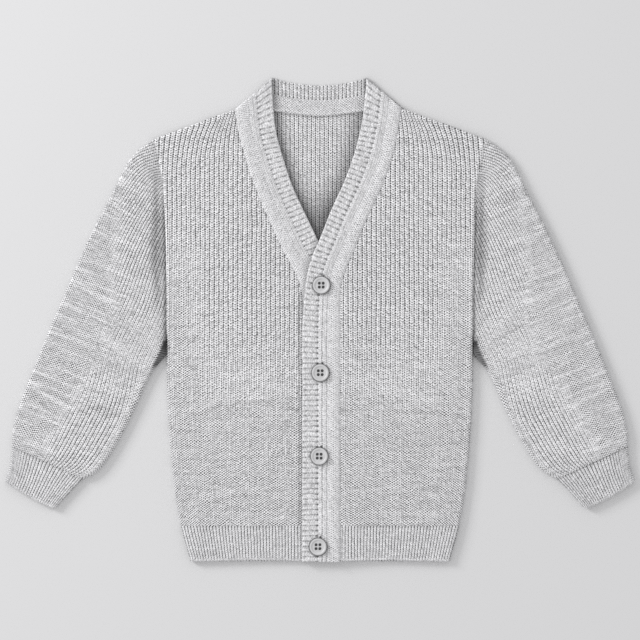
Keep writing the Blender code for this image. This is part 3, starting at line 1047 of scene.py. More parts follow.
class Wardrobe:
    """The materials of the cardigan, built once."""

    def __init__(self) -> None:
        """Builds the groups and every finish."""
        self.groups = stitch_group(), heather_group()
        self.knit = self.wool("heather body knit", gap=1.12, own=0.34)
        self.sleeve = self.wool("heather sleeve knit", level=0.94, gap=1.16, dots=0.6, own=0.32)
        soft = {"pale": 0.95, "dark": 0.03, "level": 0.93, "dots": 0.8}
        self.inside = self.wool("inside of the back", **soft, heather=0.3, fleck=0.25, own=0.25)
        fine = {"level": 0.875, "gap": 0.95, "dots": 0.45, "heather": 0.4}
        self.rib = self.wool("hem and cuff rib", **fine, fleck=0.3, own=0.25)
        self.neck_rib = self.wool(
            "neck band rib", dark=0.05, level=0.85, gap=0.78, dots=0.6, heather=0.4
        )
        band = {"dark": 0.07, "dots": 0.4, "heather": 0.2}
        self.band_rib = self.wool("band rib", level=0.77, gap=0.28, fleck=0.38, own=0.25, **band)
        plain = {"level": 0.88, "gap": 0.65, "fleck": 0.36, "own": 0.22}
        self.band_plain = self.wool("band plain knit", **plain, **band)
        self.button = ButtonFinish("grey button", {}).material()
        self.thread = ThreadFinish("button thread", {"Roughness": 0.85}).material()

    def wool(self, name: str, **values: float) -> bpy.types.Material:
        """A material of heather wool, with some values of its own."""
        return KnitFinish(name, WOOL, *self.groups, **values).material()


@dataclass
class Band:
    """A front band: a ribbed strip along its free edge and a plain strip along its seam."""

    side: Side
    sections: Columns
    cut: Cut
    cover: "Band | None" = None  # the band that lies over it
    gauge: Gauge = BAND_GAUGE
    width: float = 37.2
    rib_width: float = 15.7
    clear: float = 0.9  # how clear the ribs of the ribbed strip are
    line: Hump = Hump(0.5, 0.8, at=15.7)  # the line between the strips
    fold_line: Hump = Hump(0.3, 1.4, at=24.3)  # of the plain strip, where it is folded back
    ridge: Hump = Hump(0.45, 3.4, at=31.0)  # fuller cloth beside the seam
    slit_from: float = -6.5  # where a buttonhole starts and ends, from its button's centre
    slit_to: float = 10.6
    slit_aside: float = 2.4
    ring: Hump = Hump(0.4, 0.8, at=9.1)  # the shade under a button's edge
    knots: Array = field(init=False)

    def __post_init__(self) -> None:
        """Works out the distance along the band at each section."""
        middle_x = (self.sections["free_x"] + self.sections["seam_x"]) / 2
        middle_y = (self.sections["free_y"] + self.sections["seam_y"]) / 2
        steps = np.hypot(np.diff(middle_x), np.diff(middle_y))
        self.knots = np.concatenate([[0], np.cumsum(steps)])

    def at(self, stations: Array) -> Columns:
        """The band's sections at distances along it."""
        return {
            name: smooth(stations, self.knots, values) for name, values in self.sections.items()
        }

    def edge(self, name: str) -> tuple[Array, Array, Array]:
        """The run of one edge: its X, heights and upper face, at close stations."""
        rows = self.at(np.linspace(0, self.knots[-1], 240))
        return rows[f"{name}_x"], rows[f"{name}_y"], rows[f"{name}_top"]

    def profile(self) -> tuple[Array, Array]:
        """The band's cross section: distance from the free edge and depth below its upper face.

        The free edge is a lip as thick as the wall. The plain strip has a shallow fold line and a
        fuller ridge, and turns down beside its seam.

        Returns:
            The distances and the depths, from under the free edge to the seam.
        """
        inset, drop = lip(5.0)
        ribbed, plain = np.arange(1.7, self.rib_width - 0.3, 1.2), np.arange(16.6, 35.2, 0.92)
        flat = np.concatenate([ribbed, [self.rib_width], plain])
        turn = np.linspace(0, math.pi / 2, 5)[1:]
        out = np.concatenate([inset, flat, self.width - 2.0 + 2.0 * np.sin(turn)])
        fall = np.concatenate([drop, np.zeros(len(flat)), 1.5 - 1.5 * np.cos(turn)])
        soft = self.fold_line(out) - self.ridge(out) + self.line(out)
        return out, fall + np.where(out > 12, soft, 0)

    def skins(self) -> list[Skin]:
        """The ribbed strip and the plain one, as one grid split at the line between them.

        A row of the grid is the cross section at a station, laid from the free edge to the seam.
        Ribs run across the ribbed strip, so their pairs are counted along the band. The plain
        strip's wales run along it.

        Returns:
            The two skins.
        """
        gauge, total = self.gauge, self.knots[-1]
        stations = np.append(np.arange(0, total, gauge.pair / RIB_STEPS), total)[:, None]
        rows = self.at(stations)
        out, fall = (values[None, :] for values in self.profile())
        share = out / self.width
        x, y, top = (
            rows[f"free_{name}"] + (rows[f"seam_{name}"] - rows[f"free_{name}"]) * share
            for name in ("x", "y", "top")
        )
        ends = round_off(total - stations) * (1 - 0.25 * (1 - round_off(stations + 0.35, 1.2)))
        z = FOLD + (top - FOLD) * ends - fall
        x, y, z = np.broadcast_arrays(x * self.side.value, y, z)
        ribbed = out <= self.rib_width + 0.01
        plain = self.plainness(y, out)
        wales, along = (out - 19.6) / PLAIN_GAUGE.pair + 9, stations / PLAIN_GAUGE.course
        pairs, courses = wander(
            np.where(ribbed, stations / gauge.pair, wales),
            np.where(ribbed, out / gauge.course, along),
        )
        clear = np.where(ribbed, self.clear, plain)
        seen = Skin(laid(x, y, z), pairs, courses, clear, self.shade(x, y, out, pairs))
        beside_line = 1.1 * bell(out - self.rib_width, 1.3) * bell(off_groove(pairs), 0.22)
        rib_depth = gauge.relief(pairs, courses, clear) + beside_line
        depth = np.where(ribbed, rib_depth, PLAIN_GAUGE.relief(pairs, courses, clear))
        scallop = 0.27 * (1 - np.cos(ONE_TURN * stations / gauge.pair)) * bell(out, 1.6)
        depth = depth * ends * (1 - 0.6 * bell(out, 0.9)) + np.where(fall < 1.3, scallop, 0)
        hidden = np.arange(out.shape[1]) < 3
        seen = seen.pressed(np.where(hidden, 0, depth + self.slits(x, y)))
        wales, along = wander(wales, along)
        plain_skin = replace(seen, pairs=wales, courses=along, rib=plain, finish=1)
        border = int(np.argmax(~ribbed))
        return [
            seen.part(columns=slice(border)),
            plain_skin.part(columns=slice(border - 1, None)),
        ]

    @staticmethod
    def plainness(y: Array, out: Array) -> Array:
        """How clear the plain strip's wales are: a few show, and up the neck they fade."""
        return -0.4 + (1.3 - 1.0 * NECK(y)) * bell(out - 20.5, 4.8)

    def shade(self, x: Array, y: Array, out: Array, pairs: Array) -> Array:
        """How much the band's hollows are shaded.

        Each groove of the ribbed strip is deepest in two places: by the line between the strips,
        and a little way in from the free edge. Up the neck the two are long and nearly meet, and
        down the front they are short. The plain strip is shaded at its fold line, and up the neck
        beside it too. On the upper band a dark ring lies under the edge of each button, with the
        end of its slit above. Where another band lies over this one, it shades the cloth.

        Args:
            x: distance across.
            y: height.
            out: distance in from the free edge.
            pairs: the place along, in ribs.

        Returns:
            The shade at each point, from 0 to 1.
        """
        neck = NECK(y)
        inner = (0.7 - 0.15 * neck) * bell(out - 14.6 + 0.8 * neck, 1.1 + 0.8 * neck)
        outer = (0.4 + 0.1 * neck) * bell(out - 3.2 - 1.8 * neck, 1.1 + 1.0 * neck)
        dash = inner + outer + 0.15 - 0.08 * neck
        dash = dash * (1 + 0.45 * uneven(pairs + 0.5, out / 5 + neck, 11))
        grooves = bell(off_groove(pairs), 0.15) * dash
        tone = np.where(out <= self.rib_width + 0.01, grooves, 0)
        tone = tone + 0.1 * bell(out - 24.3, 1.6) + 0.15 * neck * bell(out - 19.8, 2.6)
        if self.cover:
            return np.clip(tone + self.cover.cast(-x, y), 0, 1)
        slit_end = Hump(0.7, 0.9, at=self.slit_aside)
        for button_x, height in zip(BUTTONS["x"], BUTTONS["y"], strict=True):
            tone = tone + self.ring.past(np.hypot(x - button_x - 0.2, y - height + 0.2))
            tone = tone + slit_end(x - button_x) * bell(y - height - 9.6, 1.3)
        return np.clip(tone, 0, 1)

    def cast(self, x: Array, y: Array) -> Array:
        """The shade beside its free edge, most up the neck, by X towards the other side.

        Args:
            x: distance across, towards the other side.
            y: height.

        Returns:
            The shade at each point.
        """
        edge_x, edge_y, _ = self.edge("free")
        off = np.maximum(np.interp(y, edge_y, edge_x) + x, 0)
        return (0.13 + 0.23 * Rise(235, 25)(y)) * bell(off, 4.2)

    def slits(self, x: Array, y: Array) -> Array:
        """Depth of the buttonholes: a narrow valley upright through each button's place.

        Args:
            x: distance across.
            y: height.

        Returns:
            The depth at each point.
        """
        depth = np.zeros_like(x)
        if self.side is Side.RIGHT:
            return depth
        valley, lips = Hump(2.0, 0.8), Hump(0.35, 0.8, at=2.0)
        for button_x, height in zip(BUTTONS["x"], BUTTONS["y"], strict=True):
            reach = (y - height - self.slit_from) / (self.slit_to - self.slit_from)
            inside = ease(reach * 9) * ease((1 - reach) * 9)
            off = x - button_x - self.slit_aside
            depth = depth + inside * (valley(off) - lips(np.abs(off)))
        return depth

    def build(self, wardrobe: Wardrobe) -> None:
        """Makes the band."""
        name = f"band_{self.side.label}"
        self.cut.sew(name, self.skins(), wardrobe.band_rib, wardrobe.band_plain)


@dataclass
class Front:
    """A front panel, from the hem to the shoulder fold."""

    side: Side
    band: Band
    over: Band  # the band with the buttonholes
    cut: Cut
    gauge: Gauge = BODY_GAUGE
    low: float = HEM_DEPTH - 0.6
    tuck: float = 2.0  # how far it runs under its band
    lean_reach: float = 42.0  # how far below the shoulder its wales lean to the neck
    first_groove: float = 20.4  # X of the groove that runs beside the bands on the right
    seam_hollow: Hump = Hump(0.75, 1.5)
    hem_hollow: Hump = Hump(0.35, 1.6)
    armhole_hollow: Hump = Hump(1.5, 0.9)
    armhole_ridge: Hump = Hump(0.55, 1.7, at=2.6)
    seam_shade: Hump = Hump(0.08, 1.6)
    hem_shade: Hump = Hump(0.06, 2.0)
    side_shade: Hump = Hump(0.14, 2.5)
    underarm_shade: Hump = Hump(0.5, 2.5)

    def place(self, wale: Array, height: Array) -> Array:
        """X of a wale: it leans to the neck by the shoulder and follows the side below.

        Args:
            wale: its X at the chest.
            height: the height.

        Returns:
            X at each height.
        """
        below = np.clip((shoulder_line(wale) - height) / self.lean_reach, 0, 1)
        lean = smooth(wale, LEAN["wale"], LEAN["lean"]) * (1 - below) ** 2
        return wale - lean + drawn_in(wale, height)

    def clearness(self, x: Array, height: Array) -> Array:
        """How clear the rib is: best up the middle of a front, faint low down and by the side.

        Args:
            x: distance across.
            height: the height.

        Returns:
            The clearness at each point, below 0 where the knit is smooth.
        """
        low = Rise(110, 150)(height)
        outer = 1 - 0.8 * Rise(104, 28)(x) * ease((335 - height) / 60)
        patch = 0.25 * uneven(x / 16, height / 9, 13)
        return np.clip(1.6 * low * outer - 0.6 + patch, -0.65, 1)

    def shade(self, x: Array, y: Array, pairs: Array, clear: Array) -> Array:
        """How shaded the front is.

        It is darker at the side, most by the underarm, and in its grooves by the shoulder. The
        smooth knit has faint level streaks. The left front is darker beside its band and its hem,
        and the right one has the shade that the upper band throws, and one dark groove.

        Args:
            x: distance across.
            y: height.
            pairs: the place across, in pairs.
            clear: how clear the rib is.

        Returns:
            The shade at each point.
        """
        off_seam, off_side, off_shoulder = self.edges(x, y)[:3]
        tone = self.seam_shade.past(off_seam) + self.hem_shade(y - self.low)
        if self.side is Side.RIGHT:
            groove = 0.35 * bell(x - self.first_groove, 0.9) * (y < 262)
            tone = groove + self.over.cast(x, y)
        tone = tone + self.side_shade(off_side) * (1 - ARMHOLE(y))
        tone = tone + self.underarm_shade(off_side) * bell(y - 208, 11)
        by_shoulder = 0.3 * bell(off_shoulder - 6, 22) * (x > 60)
        tone = tone + bell(off_groove(pairs), 0.15) * by_shoulder
        streaks = 0.02 + 0.075 * uneven(x / 15 + y / 60, y / 2.1, 29)
        return tone + ease((0.3 - clear) / 0.7) * streaks

    def edges(self, x: Array, y: Array) -> tuple[Array, Array, Array, Array]:
        """Distances from the seam, the side and the shoulder, and the band's height beside it.

        Args:
            x: distance across.
            y: height.

        Returns:
            The three distances and the height of the band.
        """
        seam_x, seam_y, seam_top = self.band.edge("seam")
        off_seam, top = x - np.interp(y, seam_y, seam_x), np.interp(y, seam_y, seam_top)
        return off_seam, half_width(y) - x, (shoulder_line(x) - y) * SHOULDER_COS, top

    def skin(self) -> Skin:
        """The front's upper face.

        The grid follows the wales and courses. Its points are held inside the panel's outline: the
        band's seam, the shoulder line and the side. The face rounds down to the fold at the side
        and the shoulder, and to its seams.

        Returns:
            The skin.
        """
        gauge = self.gauge
        seam_x, seam_y, _ = self.band.edge("seam")
        first = math.floor((seam_x.min() - self.tuck) / gauge.pair * RIB_STEPS)
        last = math.ceil(SHOULDER_TIP[0] / gauge.pair * RIB_STEPS) + 12
        numbers = np.arange(first, last + 1)[None, :] / RIB_STEPS
        lag = 1 - self.first_groove / gauge.pair % 1 if self.side is Side.RIGHT else 0.0
        start = math.floor(self.low / gauge.course * COURSE_STEPS)
        stop = math.ceil(NECK_POINT / gauge.course * COURSE_STEPS) + 1
        courses = np.arange(start, stop + 1)[:, None] / COURSE_STEPS
        wale, height = np.broadcast_arrays((numbers - lag) * gauge.pair, courses * gauge.course)
        y = np.maximum(height, self.low)
        for _ in range(4):
            free = self.place(wale, y)
            y = np.minimum(np.maximum(height, self.low), shoulder_line(free))
        x = np.clip(free, np.interp(y, seam_y, seam_x) - self.tuck, half_width(y))
        y = np.minimum(y, shoulder_line(x))
        pairs, rows = wander(
            numbers + (x - free) / gauge.pair, courses + (y - height) / gauge.course
        )
        off_seam, off_side, off_shoulder, top = self.edges(x, y)
        opening = ARMHOLE(y)
        z = FOLD_HEIGHT + (top - FOLD_HEIGHT) * (1 - ease(off_seam / EASE))
        z = z - troughs(x, y, FRONT_CREASES) + 0.5 * ease(off_seam / 30) * ease(off_side / 30)
        below_tip = 0.35 + 0.65 * ease((SHOULDER_TIP[1] - 12 - y) / 45)
        armhole = self.armhole_hollow(off_side) - self.armhole_ridge(off_side)
        z = z - self.seam_hollow.past(off_seam) - opening * below_tip * armhole
        z = z - self.hem_hollow(y - self.low)
        roll = round_off(off_side) * (1 - opening) + opening
        z = FOLD + (z - FOLD) * roll * round_off(off_shoulder)
        clear = self.clearness(x, y)
        tone = self.shade(x, y, pairs, clear)
        skin = Skin(laid(x * self.side.value, y, z), pairs, rows, clear, tone)
        calm = 1 - 0.75 * opening * bell(off_side - 1.6, 2.2)
        return skin.knitted(gauge, round_off(off_side, 2.2) * round_off(off_shoulder, 1.4) * calm)

    def build(self, wardrobe: Wardrobe) -> None:
        """Makes the front."""
        self.cut.sew(f"front_{self.side.label}", [self.skin()], wardrobe.knit)


@dataclass
class FrontHem:
    """The ribbed hem of a front."""

    side: Side
    band: Band
    cut: Cut
    gauge: Gauge = HEM_GAUGE
    high: float = HEM_DEPTH + 1.2  # it runs up under the front's lower edge
    tuck: float = 2.0  # and under its band
    seam_hollow: Hump = Hump(1.2, 1.3)
    seam_shade: Hump = Hump(0.25, 1.4)
    bow: Hump = Hump(1.5, 42, at=62)  # how its lower edge bows up along its length

    def skin(self) -> Skin:
        """The hem's upper face and its rolled lower edge.

        Its ribs fan out with its side. Rows start under the lower edge, run round it and up.

        Returns:
            The skin.
        """
        gauge = self.gauge
        faced = np.arange(1.9, self.high, gauge.course / COURSE_STEPS)
        height, fall = rolled_rows(6.0, np.append(faced, self.high))
        seam, top = (float(self.band.sections[name][0]) for name in ("seam_x", "seam_top"))
        start, full = seam - self.tuck, float(SIDE["half_width"][1])
        first = math.floor(start / gauge.pair * RIB_STEPS)
        wales = np.arange(first, math.ceil(full / gauge.pair * RIB_STEPS) + 2)[None, :] / RIB_STEPS
        free = fanned(wales * gauge.pair, height)
        x, y = np.broadcast_arrays(np.clip(free, start, half_width(height)), height)
        off_seam, off_side = x - seam, half_width(y) - x
        z = FOLD_HEIGHT + (top - FOLD_HEIGHT) * (1 - ease(off_seam / EASE)) - fall
        z = z - 0.75 * Rise(HEM_DEPTH - 2.0, 3.0)(y) - self.seam_hollow.past(off_seam)
        z = FOLD + (z - FOLD) * round_off(off_side)
        pairs, courses = wander(wales + (x - free) / gauge.pair, y / gauge.course)
        clear = 0.95 - 1.1 * bell(y, 2.2)
        # painted shade at the tops of its grooves, under the front's lower edge, and beside its
        # seam
        tops = bell(off_groove(pairs), 0.2) * bell(y - HEM_DEPTH + 1.6, 1.1)
        tone = 0.35 * tops + self.seam_shade.past(off_seam)
        y = y + self.bow(x) * (1 - ease(y / 16))
        skin = Skin(laid(x * self.side.value, y, z), pairs, courses, clear, tone)
        edges = round_off(off_side, 2.0) * (1 - 0.7 * bell(y, 2.4)) * (fall < 1.2)
        return skin.knitted(gauge, edges)

    def build(self, wardrobe: Wardrobe) -> None:
        """Makes the hem."""
        self.cut.sew(f"hem_{self.side.label}", [self.skin()], wardrobe.rib)


@dataclass
class Back:
    """The back panel: its under face, and its inner face, which shows inside the neck."""

    left: Band
    right: Band
    cut: Cut
    low: float = HEM_DEPTH + 0.2
    fine_wales: int = 13  # pairs each side of the centre that are closely modelled
    fine_from: int = 127  # the course from which they are
    collar_hollow: Hump = Hump(0.35, 1.8, at=1.0)  # below the neck seam
    collar_shade: Hump = Hump(0.4, 1.5, at=1.5)
    left_shade: Hump = Hump(0.5, 12)  # beside the bands
    right_shade: Hump = Hump(0.55, 9)
    low_shade: Hump = Hump(0.52, 31, at=326)  # towards the bottom of the V

    def outline(self, wale: Array, height: Array) -> tuple[Array, Array]:
        """Points of a grid held inside the panel's outline.

        Args:
            wale: X of each wale at the chest.
            height: the height of each course.

        Returns:
            X and height of each point.
        """
        x, y = np.broadcast_arrays(wale, np.maximum(height, self.low))
        x = x + np.sign(x) * drawn_in(np.abs(x), y)
        y = np.minimum(y, shoulder_line(x))
        x = np.clip(x, -half_width(y), half_width(y))
        return x, np.minimum(y, shoulder_line(x))

    def under_face(self) -> Skin:
        """The face that it lies on: level, and rounded up to the folds at its sides and top.

        Returns:
            The skin.
        """
        gauge = BODY_GAUGE
        reach = math.ceil(SHOULDER_TIP[0] / gauge.pair * SPARSE_STEPS) + 2
        wales = np.arange(-reach, reach + 1)[None, :] / SPARSE_STEPS
        first, last = math.floor(self.low / gauge.course), math.ceil(NECK_POINT / gauge.course)
        courses = np.arange(first, last + 2, 2)[:, None]
        x, y = self.outline(wales * gauge.pair, courses * gauge.course)
        off_side, off_shoulder = half_width(y) - np.abs(x), (shoulder_line(x) - y) * SHOULDER_COS
        by_shoulder, opening = Rise(NECK_HALF - 12, 12)(np.abs(x)), ARMHOLE(y)
        roll = round_off(off_side) * (1 - opening) + opening
        top = 1 - by_shoulder * (1 - round_off(off_shoulder))
        z = FOLD - FOLD * roll * top + 1.2 * opening * bell(off_side, 1.2)
        z = z + 0.6 * troughs(x, y, BACK_CREASES) * roll
        clear = 0.2 + 0.8 * Rise(95, 90)(y)
        pairs, rows = x / gauge.pair, y / gauge.course
        skin = Skin(laid(x, y, z), pairs, rows, clear, np.zeros_like(x), Facing.DOWN)
        edges = round_off(off_side, 2.5) * round_off(off_shoulder, 2.5)
        return skin.pressed(0.6 * gauge.relief(pairs, rows + 0.5, clear) * edges)

    def inner_face(self) -> Skin:
        """The inner face: closely knit where the neck shows it, and plainer under the fronts.

        Its columns and rows are set closer together inside the neck. It sinks a little towards the
        bottom of the neck's V, and lies in the shade of the bands, most there and under the band.

        Returns:
            The skin.
        """
        gauge, fine = INSIDE_GAUGE, self.fine_wales * RIB_STEPS
        near, far = np.arange(-fine, fine + 1) / RIB_STEPS, np.arange(self.fine_wales + 1, 39)
        wales = np.concatenate([-far[::-1], near, far])[None, :]
        low_rows = np.arange(math.floor(self.low / gauge.course), self.fine_from, 2)
        last = math.ceil(NECK_POINT / gauge.course) * COURSE_STEPS
        high_rows = np.arange(self.fine_from * COURSE_STEPS, last + 1) / COURSE_STEPS
        courses = np.concatenate([low_rows, high_rows])[:, None]
        x, y = self.outline(wales * gauge.pair, courses * gauge.course)
        x = np.clip(x, -half_width(y) + FOLD, half_width(y) - FOLD)
        y = np.minimum(y, shoulder_line(x) - 0.2)
        left_x, left_y, _ = self.left.edge("free")
        right_x, right_y, _ = self.right.edge("free")
        to_left = np.interp(y, left_y, left_x) - x
        to_right = x + np.interp(y, right_y, right_x)
        off_neck = shoulder_line(x) - y
        z = WALL - 0.5 * Rise(-6, 10)(np.minimum(to_left, to_right)) - self.collar_hollow(off_neck)
        pairs, rows = wander(x / gauge.pair, y / gauge.course)
        beside = np.maximum(self.left_shade.past(to_left), self.right_shade.past(to_right))
        lit = (1 - beside) * (1 - self.low_shade.past(y)) * (1 - self.collar_shade(off_neck))
        tone = np.clip(1 - lit, 0, 0.8)
        skin = Skin(laid(x, y, z), pairs, rows, np.full_like(x, 0.8), tone, finish=1)
        return skin.knitted(gauge, ease(off_neck / 2))

    def build(self, wardrobe: Wardrobe) -> None:
        """Makes the back."""
        skins = [self.under_face(), self.inner_face()]
        self.cut.sew("back_panel", skins, wardrobe.knit, wardrobe.inside)


@dataclass
class BackHem:
    """The ribbed hem of the back, seen from below and at its lower edge."""

    cut: Cut
    gauge: Gauge = HEM_GAUGE
    high: float = HEM_DEPTH + 0.2

    def skin(self) -> Skin:
        """Its under face, with the lower edge rolled up and the sides turned up to their folds.

        Returns:
            The skin.
        """
        gauge = self.gauge
        height, fall = rolled_rows(8.0, np.append(np.arange(2.0, self.high, 1.7), self.high))
        reach = math.ceil(SIDE["half_width"][1] / gauge.pair * SPARSE_STEPS) + 2
        wales = np.arange(-reach, reach + 1)[None, :] / SPARSE_STEPS
        free = fanned(wales * gauge.pair, height)
        x, y = np.broadcast_arrays(np.clip(free, -half_width(height), half_width(height)), height)
        off_side = half_width(y) - np.abs(x)
        z = fall + (FOLD - fall) * (1 - round_off(off_side))
        pairs, clear = wales + (x - free) / gauge.pair, np.full_like(x, 0.95)
        plain = np.zeros_like(x)
        skin = Skin(laid(x, y, z), pairs, y / gauge.course, clear, plain, Facing.DOWN)
        return skin.knitted(
            gauge, 0.8 * round_off(off_side, 2.0) * (1 - bell(y, 1.5)) * (fall < 1.2)
        )

    def build(self, wardrobe: Wardrobe) -> None:
        """Makes the hem."""
        self.cut.sew("hem_back", [self.skin()], wardrobe.rib)


@dataclass
class Rays:
    """The lines of a sleeve's courses, each square to its grain line."""

    start: Array  # where each leaves the grain line
    way: Array  # its direction
    along: Array  # its place along the grain
    near: Array = field(init=False)  # where it enters the sleeve and where it leaves it
    far: Array = field(init=False)
    shut: Array = field(init=False)  # 1 where it ends at the underarm fold, 0 at the armhole

    def crossing(self, line: Array, back: float = 0.0) -> Array:
        """Distance along each ray to where it first crosses a line of stretches.

        It solves for the crossing of two straight lines, for each ray and each stretch.

        Args:
            line: the ends of the stretches, in turn.
            back: how far behind its start each ray begins.

        Returns:
            The distance from each ray's start, or infinity.
        """
        head, run = line[:-1][None], np.diff(line, axis=0)[None]
        gap, way = head - (self.start - back * self.way)[:, None], self.way[:, None]
        turn = way[..., 0] * run[..., 1] - way[..., 1] * run[..., 0]
        reach = (gap[..., 0] * run[..., 1] - gap[..., 1] * run[..., 0]) / turn
        share = (gap[..., 0] * way[..., 1] - gap[..., 1] * way[..., 0]) / turn
        hit = (share >= -1e-6) & (share <= 1 + 1e-6) & (reach > 0.05)
        return np.where(hit, reach, np.inf).min(axis=1) - back


@dataclass
class Tube:
    """The points of one face of a sleeve, as it lies flat, and where each is in it."""

    x: Array
    y: Array
    out: Array  # distance in from the grain line
    along: Array  # down the grain, as a column
    shut: Array  # 1 below the underarm, 0 beside the armhole, as a column
    off_outer: Array  # distances from its outer fold, and from its armhole or underarm fold
    off_inner: Array
    pairs: Array
    off_armhole: Array = field(init=False)
    across: Array = field(init=False)  # share of the way from the outer fold to the inner edge
    below_tip: Array = field(init=False)  # 0 by the shoulder's tip, 1 further down
    seam: Array = field(init=False)  # how near it lies to the armhole seam, 0 to 1
    creases: Array = field(init=False)

    def __post_init__(self) -> None:
        """Works out what the heights and the shade both need."""
        self.off_armhole = self.x - half_width(self.y)
        width = np.maximum(self.off_outer + self.off_inner, 1)
        self.across = np.clip(self.off_outer / width, 0, 1)
        self.below_tip = ease((SHOULDER_TIP[1] - 36 - self.y) / 45)
        by_armhole = bell(np.maximum(self.off_armhole, 0), 2.2)
        self.seam = (1 - self.shut) * by_armhole * (0.2 + 0.8 * self.below_tip)
        self.creases = troughs(self.x, self.y, SLEEVE_CREASES)

    def rounded(self, radius: float = FOLD) -> Array:
        """1 over the face, rounding down to 0 at its folds."""
        at_inner = 1 - self.shut * (1 - round_off(self.off_inner, radius))
        return round_off(self.off_outer, radius) * at_inner


@dataclass
class Sleeve:
    """A sleeve: a flattened tube from the armhole to the cuff."""

    side: Side
    cut: Cut
    deeper: float  # how much more shaded it lies than the other
    gauge: Gauge = SLEEVE_GAUGE
    tuck: float = 1.6  # how far it runs under the body at the armhole
    flow: float = 60.0  # the stretch above the cuff where its ribs turn with the underarm fold
    kept: float = 0.4  # the share of its width there that keeps to the outer fold
    puff: float = 0.9  # how much fuller its middle is than its folds
    seam_depth: float = 1.6  # of the armhole seam, on the upper face
    lean: float = 30.0  # how far its ribs slant in from the outer fold down its length
    lean_over: float = 90.0  # and over what length, mostly
    shadow_flap_width: float = 6.4  # how far the painted shadow flap under the arm reaches to the body
    shadow_flap_edge: float = 2.6  # how wide the edge is that it is drawn from
    shadow_flap_at: float = 205.0  # its height
    shadow_flap_long: float = 12.5
    pull_height: float = 0.15  # how much a pulled course stands out
    pull_highlight: float = 0.42  # and how much highlight is painted on it
    seam_tone: float = 0.4  # how much shade is painted on its seam, its creases and the flap
    crease_tone: float = 0.16
    shadow_flap_shade: float = 0.81
    fold_shade: Hump = Hump(0.1, 3.0)
    armhole_shade: Hump = Hump(0.2, 10)
    underarm_shade: Hump = Hump(0.3, 6.0)

    def rays(self) -> Rays:
        """The lines of the courses, and where they end.

        Each ray is tried against the two outlines, and its nearest crossings on the outer fold and
        on the armhole or the underarm fold are kept.

        Returns:
            The rays, down the grain.
        """
        knots = np.append(0, np.cumsum(np.hypot(np.diff(GRAIN["x"]), np.diff(GRAIN["y"]))))
        step = self.gauge.course / COURSE_STEPS
        along = np.append(np.arange(0.3, knots[-1], step), knots[-1])
        start = np.stack([smooth(along, knots, GRAIN[name]) for name in "xy"], -1)
        tangent = np.gradient(start, axis=0)
        tangent /= np.linalg.norm(tangent, axis=1)[:, None]
        way = np.stack([tangent[:, 1], -tangent[:, 0]], -1)
        heights = np.linspace(SHOULDER_TIP[1] - 0.2, UNDERARM, 90)
        armhole = np.stack([half_width(heights) - self.tuck, heights], -1)
        rows = len(SLEEVE_EDGES["inner_x"])
        stations, spans = np.linspace(0, rows - 1, 160), np.arange(rows, dtype=float)
        fold, edge = (
            np.stack([smooth(stations, spans, SLEEVE_EDGES[f"{name}_{at}"]) for at in "xy"], -1)
            for name in ("inner", "outer")
        )
        rays = Rays(start, way, along)
        to_armhole, to_fold = rays.crossing(armhole), rays.crossing(fold)
        rays.far = np.minimum(to_armhole, to_fold)
        lost = ~np.isfinite(rays.far)
        rays.far[lost] = np.interp(along[lost], along[~lost], rays.far[~lost])
        near = rays.crossing(edge, back=5.0)
        straight = (along > knots[-3]) & np.isfinite(near)
        rays.near = np.where(straight, np.maximum(near, 0), 0)
        corner = along[np.argmax(to_fold < to_armhole)]
        rays.shut = Rise(corner - 2, 9)(along)
        return rays

    def tube(self, per_pair: int) -> Tube:
        """The points of a face, between the outer fold and the armhole or underarm fold.

        Rows follow the courses, and columns the ribs, at even distances in from the grain line.
        Above the cuff the columns past a share of the width draw together with the underarm fold.
        The ribs are counted finer towards the shoulder, and slant in a little down the sleeve.

        Args:
            per_pair: columns to a rib and its groove.

        Returns:
            The points.
        """
        pair, rays = self.gauge.pair, self.rays()
        columns = np.arange(math.ceil(rays.far.max() / pair * per_pair) + 2)[None, :] / per_pair
        along, near, far = rays.along[:, None], rays.near[:, None], rays.far[:, None]
        bend = rays.along[-1] - self.flow
        full = float(np.interp(bend, rays.along, rays.far))
        kept, low = self.kept * full, along > bend
        free = columns * pair
        drawn = kept + (np.minimum(free, full) - kept) * (far - kept) / (full - kept)
        out = np.clip(np.where(low & (free > kept), drawn, free), near, far)
        pairs = np.where(low, np.minimum(columns, full / pair), out / pair)
        lean = self.lean / pair * (1 - np.exp(-along / self.lean_over))
        finer = 1.35 - 0.25 * Rise(40, 130)(along) - 0.1 * Rise(200, 70)(along)
        pairs = (np.maximum(pairs, near / pair) + lean) * finer
        x, y = (rays.start[:, axis, None] + rays.way[:, axis, None] * out for axis in (0, 1))
        return Tube(x, y, out, along, rays.shut[:, None], out - near, far - out, pairs)

    @staticmethod
    def pulled(tube: Tube) -> Array:
        """Which courses are pulled and stand out with a painted highlight, 0 to 1: a random few."""
        draws = uneven(tube.along / 1.7 + tube.off_outer / 70, tube.off_outer / 40, 23)
        return Rise(0.3, 0.35)(draws)

    def heights(self, tube: Tube, facing: Facing) -> Array:
        """Z of a face: it rounds off to both folds, where the two faces meet.

        Args:
            tube: its points.
            facing: which face.

        Returns:
            Z at each point.
        """
        rise = tube.rounded()
        if facing is Facing.DOWN:
            return FOLD - FOLD * rise + (0.5 * tube.creases + 1.3 * tube.seam) * rise
        middle = np.sin(math.pi * tube.across) ** 2 * ease(tube.off_armhole / 30)
        tail = np.clip((tube.along[-1] - tube.along) / 2.0, 0, 1)
        height = FOLD + self.puff * middle + 0.3 - tube.creases - self.seam_depth * tube.seam
        height = height + self.pull_height * self.pulled(tube)
        return FOLD + height * rise * (0.9 + 0.1 * tail)

